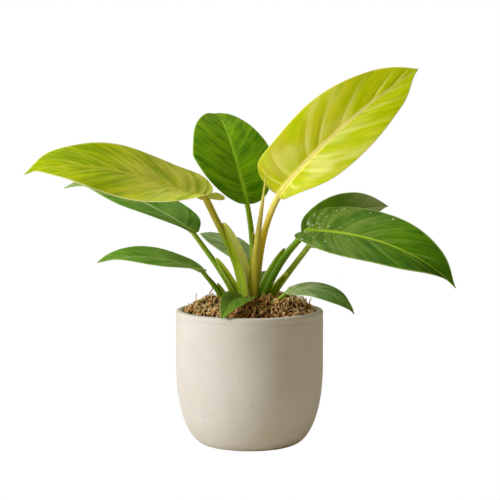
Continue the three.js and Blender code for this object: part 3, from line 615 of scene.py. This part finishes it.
def make_spear():
    """The new leaf, rolled into a slim cone with its free edge running up it."""
    curve, (foot, tip) = SPEAR.spine, SPEAR.radii
    t = np.linspace(0, 1, SPEAR.rings)
    _, face, flank = stalk_frame(curve, t, np.array([-1.0, 0, 0]))
    t = t[:, None]
    angle = around(SPEAR.sides)
    turned = (angle - SPEAR.seam - SPEAR.seam_turn * t) % (2 * np.pi) / (2 * np.pi)
    r = (foot + (tip - foot) * t ** 1.2) * (1 - SPEAR.step * turned * smooth(0.25, 0.45, t))
    points = rings_round(bezier(curve, t[:, 0]), flank, face, r * np.cos(angle), r * np.sin(angle))
    where = np.stack(np.broadcast_arrays(t, angle / (2 * np.pi), turned), axis=-1)
    make_piece("spear_rolled", points, loft_faces(*turned.shape), spear_look(),
               {"where": where}, "spear")


# The planter

def pot_radius(z):
    """The outside, which curves in below the bend."""
    fall = max(0.0, 1 - z / POT.bend)
    share = (1 - fall ** POT.power) ** (1 / POT.power)
    return POT.foot + (POT.radius - POT.foot) * share


def hollow_radius(z):
    """The inside, with a rounded corner at the floor."""
    rise = max(0.0, z - POT.floor)
    return min(pot_radius(z) - POT.wall, POT.foot - 8 + math.sqrt(rise) * 6.5)


def make_pot():
    """The turned pot, from the middle of its foot round its side and lip to the middle of its floor."""
    profile = [(2.0, 1.2), (POT.foot - 9, 1.2), (POT.foot - 7, 0.2), (POT.foot - 5.5, 0),
               (POT.foot - 2.5, 0)]
    profile += [(pot_radius(z), z) for z in (0.5, 1.2, 2.5, 4.5, 7, 10, 14, 19, 25, 32, 40, 50, 60, 70, 80)]
    groove = POT.height - POT.groove_drop
    profile += [(POT.radius, z) for z in (92, 104, 116, groove - 4)]
    for dz in (-2, -1.2, -0.6, 0, 0.6, 1.2, 2):
        profile.append((POT.radius - POT.groove_depth * math.exp(-(dz / 1.0) ** 2), groove + dz))
    inner = POT.radius - POT.wall
    top = POT.height - POT.lip
    for centre, start in ((POT.radius - POT.lip, 0), (inner + POT.lip, 90)):
        for step in range(7):
            angle = math.radians(start + 15 * step)
            profile.append((centre + POT.lip * math.cos(angle), top + POT.lip * math.sin(angle)))
    profile += [(inner, z) for z in (128, 116, 100)]
    profile += [(hollow_radius(z), z) for z in (80, 60, 46, 34, 26, 20, 15, 11, 9.2)]
    profile.append((2.0, POT.floor))
    sides = POT.sides
    points = np.concatenate([level_ring(r, z, sides) for r, z in profile])
    make_piece("planter", points, loft_faces(len(profile), sides), pot_look(), {}, "pot")


# The mulch

def heap(x, y):
    """Height of the mulch over a place on the pot's mouth."""
    share = np.minimum(np.hypot(x, y) / MOSS.radius, 1)
    broad = np.sin(x / 7 + 1) * np.sin(y / 8 + 2) + 0.6 * np.sin(x / 4.1 - y / 5.3)
    return MOSS.edge + MOSS.rise * (1 - share ** 2.6) + MOSS.lump * broad * (1 - share ** 6)


def make_mulch_bed():
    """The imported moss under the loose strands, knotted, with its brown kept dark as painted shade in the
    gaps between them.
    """
    sides, edge, middle = BED.sides, MOSS.radius, BED.middle
    rings = [level_ring(middle, BED.bottom, sides), level_ring(edge - 1, BED.bottom, sides)]
    angle = around(sides)
    for r in np.linspace(edge, middle, BED.rings):
        x, y = r * np.cos(angle), r * np.sin(angle)
        knots = np.array([noise.noise(Vector((a / 3.2, b / 3.2, 0.0)))
                          + 0.6 * noise.noise(Vector((a, b, 5.0))) for a, b in zip(x, y)])
        z = heap(x, y) - BED.drop + BED.knots * knots * min(1, (edge - r) / 3)
        rings.append(np.stack([x, y, z], axis=-1))
    make_piece("moss_bed_painted_shade", np.concatenate(rings), loft_faces(len(rings), sides),
               crumbly_look("moss_bed_painted_shade"), {}, "moss_mulch")


def stalk_places():
    """Where the stalks pass through the mulch, as x, y and radius."""
    places = [(SPEAR.spine[0][0], SPEAR.spine[0][1], SPEAR.radii[0])]
    for leaf in LEAVES:
        t = 0.5 if leaf.stalk[0][2] < 140 else 0.2
        x, y, _ = bezier(leaf.stalk, t)
        places.append((x, y, leaf.radii[0]))
    return np.array(places)


def strand_rings(path, width, flat, sides):
    """A flattened tube round a path."""
    along = unit(np.gradient(path, axis=0))
    side = unit(np.cross(along, [0.13, 0.07, 1.0]))
    taper = np.sin(np.pi * np.linspace(0.08, 0.92, len(path)))[:, None] ** 0.5
    angle = around(sides)
    wide, high = taper * width * np.cos(angle), taper * flat * np.sin(angle)
    return rings_round(path, side, np.cross(side, along), wide, high)


def curled_path(rng, x, y, reach, lift):
    """A strand that wanders over the heap, turning and rising as it goes."""
    count = STRAND.rings
    heading = rng.uniform(0, 2 * np.pi)
    turn = rng.normal(0, STRAND.turn)
    step = reach / (count - 1)
    swing = rng.uniform(0, 2 * np.pi)
    most = MOSS.radius - 1.0
    path = []
    for i in range(count):
        share = i / (count - 1)
        r = math.hypot(x, y)
        if r > most:
            x, y = x * most / r, y * most / r
        rise = lift * math.sin(math.pi * share) + 0.9 * math.sin(swing + 5 * share)
        path.append((x, y, float(heap(x, y)) - 1.0 + rise))
        heading += turn + rng.normal(0, STRAND.wander)
        x += step * math.cos(heading)
        y += step * math.sin(heading)
    return np.array(path)


def make_tubes(name, tubes, tones, kind):
    """One piece of many strands, with three tones for each."""
    rings, sides = kind.rings, kind.sides
    make_piece(name, np.concatenate(tubes), many_faces(len(tubes), rings, sides), strand_look(),
               {"tone": np.repeat(tones, rings * sides, axis=0)}, "moss_mulch")


def strand_tone(rng, x, level):
    """How light a strand is: random, with painted light on strands that lie high, painted shade among the
    stalks where the leaves shade the mulch, and painted light towards its right.
    """
    # painted_shade is painted shade over the middle of the mulch and painted light at its right
    painted_shade = 1.12 - 0.62 * math.exp(-((x - 8) / 22) ** 2) + 0.25 * smooth(18, 42, x)
    return (0.25 * rng.uniform(0, 1) + 0.75 * level) * painted_shade


def make_mulch_strands():
    """Loose curled strands over the bed, each with a tone of its own that also carries painted light and
    shade, and greener in two patches.
    """
    rng = np.random.default_rng(MOSS.seed)
    stalks = stalk_places()
    mound_x, mound_y, mound_size, mound_rise = MOSS.mound
    tubes, tones = [], []
    while len(tubes) < MOSS.strands:
        angle = rng.uniform(0, 2 * np.pi)
        r = MOSS.radius * math.sqrt(rng.uniform(0.01, 0.97))
        x, y = r * math.cos(angle), r * math.sin(angle)
        level = rng.uniform(0, 1)
        lift = 0.5 + 4.2 * level ** 2 + mound_rise * bell(x - mound_x, y - mound_y, mound_size)
        path = curled_path(rng, x, y, rng.uniform(*STRAND.reach), lift)
        away = np.hypot(path[:, None, 0] - stalks[:, 0], path[:, None, 1] - stalks[:, 1]) - stalks[:, 2]
        if away.min() < STRAND.clear:
            continue
        width, flat = rng.uniform(*STRAND.width), rng.uniform(*STRAND.flat)
        tubes.append(strand_rings(path, width, flat, STRAND.sides))
        green = max(bell(x - px, y - py, size) for px, py, size in MOSS.green)
        tone = strand_tone(rng, x, level)
        greenness = 1.0 if rng.uniform(0, 1) < 0.7 * green + 0.03 else 0.0
        tones.append([tone, greenness, rng.uniform(0, 1)])
    make_tubes("moss_strands", tubes, tones, STRAND)


def fibre_path(rng, x, y, tall):
    """A fibre that stands up, leaning and swaying."""
    lean = rng.uniform(0, 2 * np.pi)
    curl = rng.uniform(1.5, 4.0)
    path = []
    for share in np.linspace(0, 1, FIBRE.rings):
        swing = 0.16 * tall * math.sin(curl * 2 * share + lean)
        path.append((x + 0.3 * tall * share * math.cos(lean) + swing * math.sin(lean),
                     y + 0.3 * tall * share * math.sin(lean) + swing * math.cos(lean),
                     float(heap(x, y)) - 1.5 + (tall + 1.5) * share))
    return np.array(path)


def make_stray_fibres():
    """Thin fibres that stand up out of the mulch: thicker ones at set places, then others at random."""
    rng = np.random.default_rng(MOSS.seed + 1)
    tubes, tones = [], []
    for i in range(MOSS.stray):
        if i < len(FIBRE.placed):
            x, y, tall = FIBRE.placed[i]
            thick = FIBRE.thicker
        else:
            angle = rng.uniform(0, 2 * np.pi)
            r = MOSS.radius * rng.uniform(0.45, 0.95)
            x, y, tall = r * math.cos(angle), r * math.sin(angle), rng.uniform(3, 7)
            thick = 1.0
        path = fibre_path(rng, x, y, tall)
        tubes.append(strand_rings(path, FIBRE.width * thick, FIBRE.flat * thick, FIBRE.sides))
        tones.append([rng.uniform(0.3, 0.9), 0.0, rng.uniform(0, 1)])
    make_tubes("moss_stray_fibres", tubes, tones, FIBRE)


# Water drops

def make_drops(leaf):
    """Small flattened drops of water on a leaf's upper face."""
    rng = np.random.default_rng(DROPS.seed)
    sides, levels = DROPS.sides, DROPS.levels
    angle = around(sides)
    blocks = []
    for _ in range(DROPS.count):
        side = 1 if rng.uniform() < 0.5 else -1
        v = np.array([rng.beta(2.0, 3.2) * 0.56 + 0.06])
        s = np.array([0.08 + 0.82 * rng.uniform() ** 0.8])
        step = 0.004
        here, along, aside = (blade_points(leaf, v + dv, s + ds, side)[0] for dv, ds in
                              ((0, 0), (step, 0), (0, step)))
        a, b = unit(along - here)[0], unit(aside - here)[0]
        normal = np.cross(a, b) * side
        normal /= np.linalg.norm(normal)
        b = np.cross(normal, a)
        size = rng.choice(DROPS.sizes, p=DROPS.shares) * rng.uniform(0.85, 1.15)
        centre = here[0] + normal * (BLADE.thickness / 2 - 0.12)
        for level in range(levels):
            polar = math.pi / 2 * level / (levels - 0.4)
            ring = np.cos(angle)[:, None] * a + np.sin(angle)[:, None] * b
            wide, high = size * math.cos(polar), DROPS.height * size * math.sin(polar)
            blocks.append(centre + wide * ring + high * normal)
    make_piece("water_drops", np.concatenate(blocks), many_faces(DROPS.count, levels, sides),
               water_look(), {}, "leaf_" + leaf.name)


# Materials

class Net:
    """A short way to write a material's node tree."""

    def __init__(self, name):
        self.material = bpy.data.materials.new(name)
        self.material.use_nodes = True
        self.tree = self.material.node_tree
        self.shader = self.tree.nodes["Principled BSDF"]

    def put(self, sockets, values):
        """Sets sockets by place or name, or links others to them."""
        for key, value in values.items():
            if isinstance(value, bpy.types.NodeSocket):
                self.tree.links.new(value, sockets[key])
            else:
                sockets[key].default_value = value

    def node(self, kind, values, **settings):
        """The outputs of a new node."""
        made = self.tree.nodes.new("ShaderNode" + kind)
        for key, value in settings.items():
            setattr(made, key, value)
        self.put(made.inputs, values)
        return made.outputs

    def math(self, operation, a, b=0):
        return self.node("Math", {0: a, 1: b}, operation=operation)[0]

    def times(self, a, b):
        return self.math("MULTIPLY", a, b)

    def plus(self, a, b):
        return self.math("ADD", a, b)

    def spread(self, value, low, high, to_low=0, to_high=1):
        """A value eased from one range to another."""
        values = dict(enumerate((value, low, high, to_low, to_high)))
        return self.node("MapRange", values, interpolation_type="SMOOTHSTEP", clamp=True)[0]

    def blend(self, share, a, b, kind="MIX"):
        values = {0: share, 6: a, 7: b}
        return self.node("Mix", values, data_type="RGBA", blend_type=kind, clamp_factor=True)[2]

    def attribute(self, name):
        """The three values that the mesh carries at each of its points."""
        return self.node("SeparateXYZ", {0: self.node("Attribute", {}, attribute_name=name)["Vector"]})

    def vector(self, x, y, z=0):
        return self.node("CombineXYZ", {0: x, 1: y, 2: z})[0]

    def place(self):
        """The place on the piece in metres, the same from every side."""
        return self.node("TexCoord", {})["Object"]

    def noise(self, vector, scale, detail=3, rough=0.5):
        values = {"Vector": vector, "Scale": scale, "Detail": detail, "Roughness": rough}
        return self.node("TexNoise", values)["Fac"]

    def fibres(self, across, run, many, short):
        """Fine lines that run along a piece."""
        return self.noise(self.vector(self.times(across, many), self.times(run, short)), 1)

    def bump(self, height, strength, distance):
        normal = self.node("Bump", {"Height": height, "Strength": strength, "Distance": distance})[0]
        self.put(self.shader.inputs, {"Normal": normal})

    def glow_through(self, weight, depth):
        """Lets light pass some millimetres through the tissue, as it does in a sheath held to a lamp."""
        self.put(self.shader.inputs, {"Subsurface Weight": weight, "Subsurface Scale": depth * MM,
                                      "Subsurface Radius": GLOW_RADIUS})

    def finish(self, colour, roughness, specular):
        self.put(self.shader.inputs, {"Base Color": colour, "Roughness": roughness,
                                      "Specular IOR Level": specular})
        return self.material


def look_of(leaf):
    return Table(**{**PLAIN_LOOK, **LOOKS[leaf.name]})


def blade_casts(net, look, colour, run, broad):
    """The pale cast of the blade's base, in patches, and the cast of its tip, partly the leaf's own colour
    and partly painted light, sheen at some bases and tips and shade at green_right's tip, as told above
    LOOKS.
    """
    at_base, at_tip = look.cast
    patches = net.times(net.spread(run, 0.15, 0.65, at_base, 0), net.spread(broad, 0.42, 0.58, 0.3, 1))
    colour = net.blend(patches, colour, linear(look.pale))
    return net.blend(net.spread(run, 0.55, 1, 0, at_tip), colour, linear(look.tip))


def painted_sheen_bands(net, look, run, phase, s, apart):
    """Painted sheen: soft bands along the side veins, strongest a third of the way up the blade."""
    bands = net.vector(net.times(phase, 0.9), net.times(s, 1.3), net.plus(apart, 5))
    painted_sheen_share = net.spread(net.noise(bands, 1, 1), 0.47, 0.66, 0, look.sheen)
    painted_sheen_share = net.times(painted_sheen_share, net.spread(run, 0.3, 0.7, 1, 0))
    return net.times(painted_sheen_share, net.spread(run, 0.05, 0.3, 0.25, 1))


def side_veins(net, look, colour, phase, s, ridge):
    """Each side vein as a painted shade on one flank, a painted highlight on the other and a thin line, and
    the line by itself.
    """
    within = net.math("FRACT", phase)
    fade = net.spread(s, 0.35, 0.95, 1, 0.15)
    painted_light_share = net.times(net.spread(within, 0, 0.3, look.vein, 0), fade)
    painted_shade = net.times(net.spread(within, 0.7, 1, 0, look.vein), fade)
    colour = net.blend(painted_shade, colour, linear(look.deep))
    colour = net.blend(painted_light_share, colour, ridge)
    line = net.spread(net.math("PINGPONG", phase, 0.5), 0.012, 0.045, look.vein, 0)
    return net.blend(net.times(line, fade), colour, linear(look.rib)), line


def blade_look(leaf):
    """Streaks and side veins laid along the blade's weave, between a pale midrib and a pale margin, with
    painted light and shade on the veins' flanks, a painted sheen near the base and painted light on one
    half.
    """
    look = look_of(leaf)
    net = Net("blade_" + leaf.name)
    phase, s, up = net.attribute("weave")
    run, from_rib, side = net.attribute("where")
    apart = net.times(side, 37)
    fine = net.noise(net.vector(net.times(phase, 5.5), net.times(s, 1.7), apart), 1, 4, 0.65)
    broad = net.noise(net.vector(net.times(phase, 1.7), s, apart), 1, 2)
    cloud = net.noise(net.place(), 34, 2)
    mixed = net.plus(net.plus(net.times(broad, 0.3), net.times(fine, 0.5)), net.times(cloud, 0.2))
    soft = 0.09 / look.streak
    tone = net.spread(mixed, 0.5 - soft, 0.5 + soft)
    colour = net.blend(tone, linear(look.deep), linear(look.light))
    colour = blade_casts(net, look, colour, run, broad)
    ridge = linear(getattr(look, "ridge", look.pale))
    # Painted sheen in ridge's colour over the lower blade
    colour = net.blend(painted_sheen_bands(net, look, run, phase, s, apart), colour, ridge)
    colour, line = side_veins(net, look, colour, phase, s, ridge)

    wide = net.times(net.math("SUBTRACT", 1, run), 1.05 * leaf.radii[1] * leaf.rib)
    wide = net.plus(net.math("MAXIMUM", wide, 0), 0.35)
    band = net.spread(net.math("DIVIDE", from_rib, wide), 0.75, 1.15, 0.9, 0)
    colour = net.blend(band, colour, linear(look.rib))
    colour = net.blend(net.spread(s, 0.968, 0.985, 0, 0.75), colour, linear(look.edge))
    # Painted light: each half's colour is multiplied by its factor in look.sides, lifting the half that the
    # lamps leave darker
    plus, minus = (tuple([factor] * 3 + [1]) for factor in look.sides)
    colour = net.blend(1, colour, net.blend(net.spread(side, -0.5, 0.5), minus, plus), "MULTIPLY")
    lower = net.blend(net.times(tone, 0.5), linear(look.under), linear(look.light))
    lower = net.blend(net.times(line, 1.6), lower, linear(look.rib))
    colour = net.blend(up, lower, colour)
    grain = net.times(fine, net.spread(run, 0.4, 0.9, 0.8, 0.1))
    net.bump(net.plus(grain, net.times(cloud, 0.5)), 0.4, 0.0007)
    return net.finish(colour, net.plus(0.38, net.times(cloud, 0.2)), look.gloss)


def stalk_tones(net, run, look):
    """The stalk's colour from its foot to the blade."""
    foot, middle, top = (linear(colour) for colour in look.stalk)
    colour = net.blend(net.spread(run, 0.05, 0.5), foot, middle)
    return net.blend(net.spread(run, 0.55, 1), colour, top)


def dark_lines(net, colour, lines, depth, where):
    """Darkens a colour along its fibres."""
    darker = net.blend(0.3, colour, BLACK)
    return net.blend(net.times(net.spread(lines, 0.35, 0.7, depth, 0), where), colour, darker)


def stalk_look(leaf):
    """Lined tissue, paler along the midrib and near the blade's own colour at its tip."""
    look = look_of(leaf)
    net = Net("stalk_" + leaf.name)
    run, turn, _ = net.attribute("where")
    lines = net.fibres(turn, run, 26, 2)
    colour = stalk_tones(net, run, look)
    # A spine colour over 255, as on lime_right, is a painted glow on the midrib
    colour = net.blend(net.spread(run, 1, 1.1), colour, linear(getattr(look, "spine", look.rib)))
    colour = net.blend(net.spread(run, 1.5, 1.9, 0, 0.8), colour, linear(look.light))
    colour = dark_lines(net, colour, lines, 0.4, net.spread(run, 0.95, 1.1, 1, 0.2))
    net.bump(lines, 0.3, 0.0004)
    net.glow_through(0.6, 5)
    return net.finish(colour, 0.42, 0.14)


def sheath_look(leaf):
    """The stalk's tissue outside, a light trough inside, a painted glow where its colour is over 255, and a
    pale rim.
    """
    look = look_of(leaf)
    net = Net("sheath_" + leaf.name)
    run, across, inside = net.attribute("where")
    lines = net.fibres(across, run, 22, 3)
    trough = linear(look.trough)
    # Trough colours over 255 paint a glow on the inner face, which the lamps leave in shade
    colour = net.blend(inside, stalk_tones(net, run, look), trough)
    colour = dark_lines(net, colour, lines, 0.5, net.math("SUBTRACT", 1, inside))
    edge = net.spread(net.math("ABSOLUTE", across), 0.44, 0.5, 0, 0.7)
    colour = net.blend(edge, colour, net.blend(0.5, trough, linear((232, 230, 180))))
    net.bump(lines, 0.3, 0.0004)
    net.glow_through(0.5, 6)
    return net.finish(colour, 0.45, 0.12)


def spear_look():
    """Golden lined tissue with painted shade along its seam, on the layer just under the rolled free edge.
    """
    net = Net("spear_rolled")
    run, turn, seam = net.attribute("where")
    lines = net.fibres(turn, run, 30, 3)
    colour = net.blend(net.spread(run, 0.1, 0.9), linear((206, 200, 60)), linear((244, 222, 130)))
    colour = net.blend(net.spread(lines, 0.35, 0.7, 0.5, 0), colour, linear((168, 168, 30)))
    # Painted shade under the rolled edge
    colour = net.blend(net.spread(seam, 0.93, 1, 0, 0.6), colour, linear((120, 120, 24)))
    net.bump(lines, 0.3, 0.0004)
    net.glow_through(0.6, 5)
    return net.finish(colour, 0.42, 0.14)


def brush_marks(net, place):
    """Short strokes that run round the pot, in patches."""
    x, y, z = net.node("SeparateXYZ", {0: place})
    height = net.plus(z, net.times(net.noise(place, 16, 2), 0.05))
    strokes = net.vector(net.times(x, 45), net.times(y, 45), net.times(height, 420))
    patches = net.spread(net.noise(place, 13, 2), 0.42, 0.6)
    return net.times(net.noise(strokes, 1, 2, 0.6), patches)


def pot_look():
    """Matte cream, lightly mottled and stained, with rare dark specks."""
    net = Net("matte_cream_glaze")
    place = net.place()
    mottle = net.noise(place, 22, 4)
    colour = net.blend(net.spread(mottle, 0.3, 0.7), linear((212, 205, 193)), linear((219, 212, 203)))
    stain = net.spread(net.noise(place, 11), 0.56, 0.76, 0, 0.5)
    colour = net.blend(stain, colour, linear((216, 198, 162)))
    cells = net.node("TexVoronoi", {"Vector": place, "Scale": 110})["Distance"]
    speck = net.spread(cells, 0.04, 0.08, 0.7, 0)
    rare = net.spread(net.noise(place, 70, 1), 0.52, 0.58)
    colour = net.blend(net.times(speck, rare), colour, linear((120, 100, 76)))
    net.bump(net.plus(brush_marks(net, place), net.times(net.noise(place, 260), 0.3)), 0.7, 0.0011)
    return net.finish(colour, net.spread(mottle, 0.3, 0.7, 0.5, 0.62), 0.3)


def strand_look():
    """Dry moss from brown to straw by the strand's tone, or a dull green. Both kinds of strand share it."""
    if "moss_strand" in bpy.data.materials:
        return bpy.data.materials["moss_strand"]
    net = Net("moss_strand")
    tone, green, shift = net.attribute("tone")
    dry = net.node("ValToRGB", {0: tone})[0]
    stops = dry.node.color_ramp.elements
    stops[0].position, stops[0].color = 0, linear((112, 72, 32))
    stops[1].position, stops[1].color = 1, linear((255, 232, 180))
    stops.new(0.35).color = linear((212, 152, 84))
    stops.new(0.75).color = linear((255, 208, 136))
    leafy = net.blend(shift, linear((112, 116, 34)), linear((156, 152, 70)))
    colour = net.blend(green, dry, leafy)
    fine = net.noise(net.place(), 900)
    colour = net.blend(net.spread(fine, 0.35, 0.6, 0.3, 0), colour, linear((96, 66, 38)))
    net.bump(fine, 0.5, 0.0003)
    return net.finish(colour, 0.85, 0.25)


def water_look():
    net = Net("water")
    net.put(net.shader.inputs, {"Transmission Weight": 0.4, "IOR": 1.33})
    # The pale base colour is a painted highlight, so the drops show as light dots
    return net.finish(linear((216, 236, 176)), 0.06, 0.5)


def crumbly_look(name):
    """An earthy stuff in two tones, from the table above."""
    look = CRUMBLY[name]
    net = Net(name)
    crumbs = net.noise(net.place(), *look.grain)
    colour = net.blend(net.spread(crumbs, 0.35, 0.7), linear(look.dark), linear(look.pale))
    net.bump(crumbs, *look.bump)
    return net.finish(colour, look.rough, look.gloss)


def dress_node(name):
    """Gives a solid that stays in view its material."""
    look = crumbly_look(name)
    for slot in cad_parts[name].material_slots:
        slot.material = look


# The studio

def turned_to(at, aim):
    """The rotation that points a light or a camera at its aim."""
    return (Vector(aim) - Vector(at)).to_track_quat("-Z", "Y").to_euler()


def area_light(name, at, size, power, colour):
    light = bpy.data.lights.new(name, "AREA")
    light.shape = "RECTANGLE"
    light.size, light.size_y = size
    light.energy = power
    light.color = colour
    lamp = add_object(name, light)
    lamp.location = at
    lamp.rotation_euler = turned_to(at, LIGHT_AIM)


def seen_white(tree, lit, output):
    """Keeps the light of a surface as it is, and shows it to the camera as plain white."""
    kinds = ("Emission", "LightPath", "MixShader")
    white, path, either = (tree.nodes.new("ShaderNode" + kind) for kind in kinds)
    shown = (path.outputs["Is Camera Ray"], lit.outputs[0], white.outputs[0])
    for socket, given in zip(either.inputs, shown):
        tree.links.new(given, socket)
    tree.links.new(either.outputs[0], tree.nodes[output].inputs["Surface"])


def make_studio():
    """The pale floor, the even surroundings and the three lights."""
    floor_mesh = bpy.data.meshes.new("floor")
    r = FLOOR_REACH
    floor_mesh.from_pydata([(-r, -r, 0), (r, -r, 0), (r, r, 0), (-r, r, 0)], [], [(0, 1, 2, 3)])
    floor = add_object("floor", floor_mesh)
    net = Net("floor_white")
    floor_mesh.materials.append(net.finish(FLOOR, 0.9, 0.2))
    seen_white(net.tree, net.shader, "Material Output")

    world = bpy.data.worlds.new("studio")
    world.use_nodes = True
    bpy.context.scene.world = world
    lit = world.node_tree.nodes["Background"]
    lit.inputs["Color"].default_value = AMBIENT
    lit.inputs["Strength"].default_value = AMBIENT_STRENGTH
    seen_white(world.node_tree, lit, "World Output")

    for name, light in LIGHTS.items():
        area_light(name, **light)


def make_camera():
    camera = add_object("camera", bpy.data.cameras.new("camera"))
    camera.data.lens = CAMERA_LENS
    camera.location = CAMERA_AT
    camera.rotation_euler = turned_to(CAMERA_AT, CAMERA_AIM)
    bpy.context.scene.camera = camera


make_camera()
make_studio()
for leaf in LEAVES:
    make_blade(leaf)
    make_stalk(leaf)
    make_sheath(leaf)
    if leaf.name == DROPS.leaf:
        make_drops(leaf)
make_spear()
make_mulch_bed()
make_mulch_strands()
make_stray_fibres()
make_pot()
dress_node("potting_mix")
dress_node("crown")
bpy.context.scene.view_settings.view_transform = "Standard"
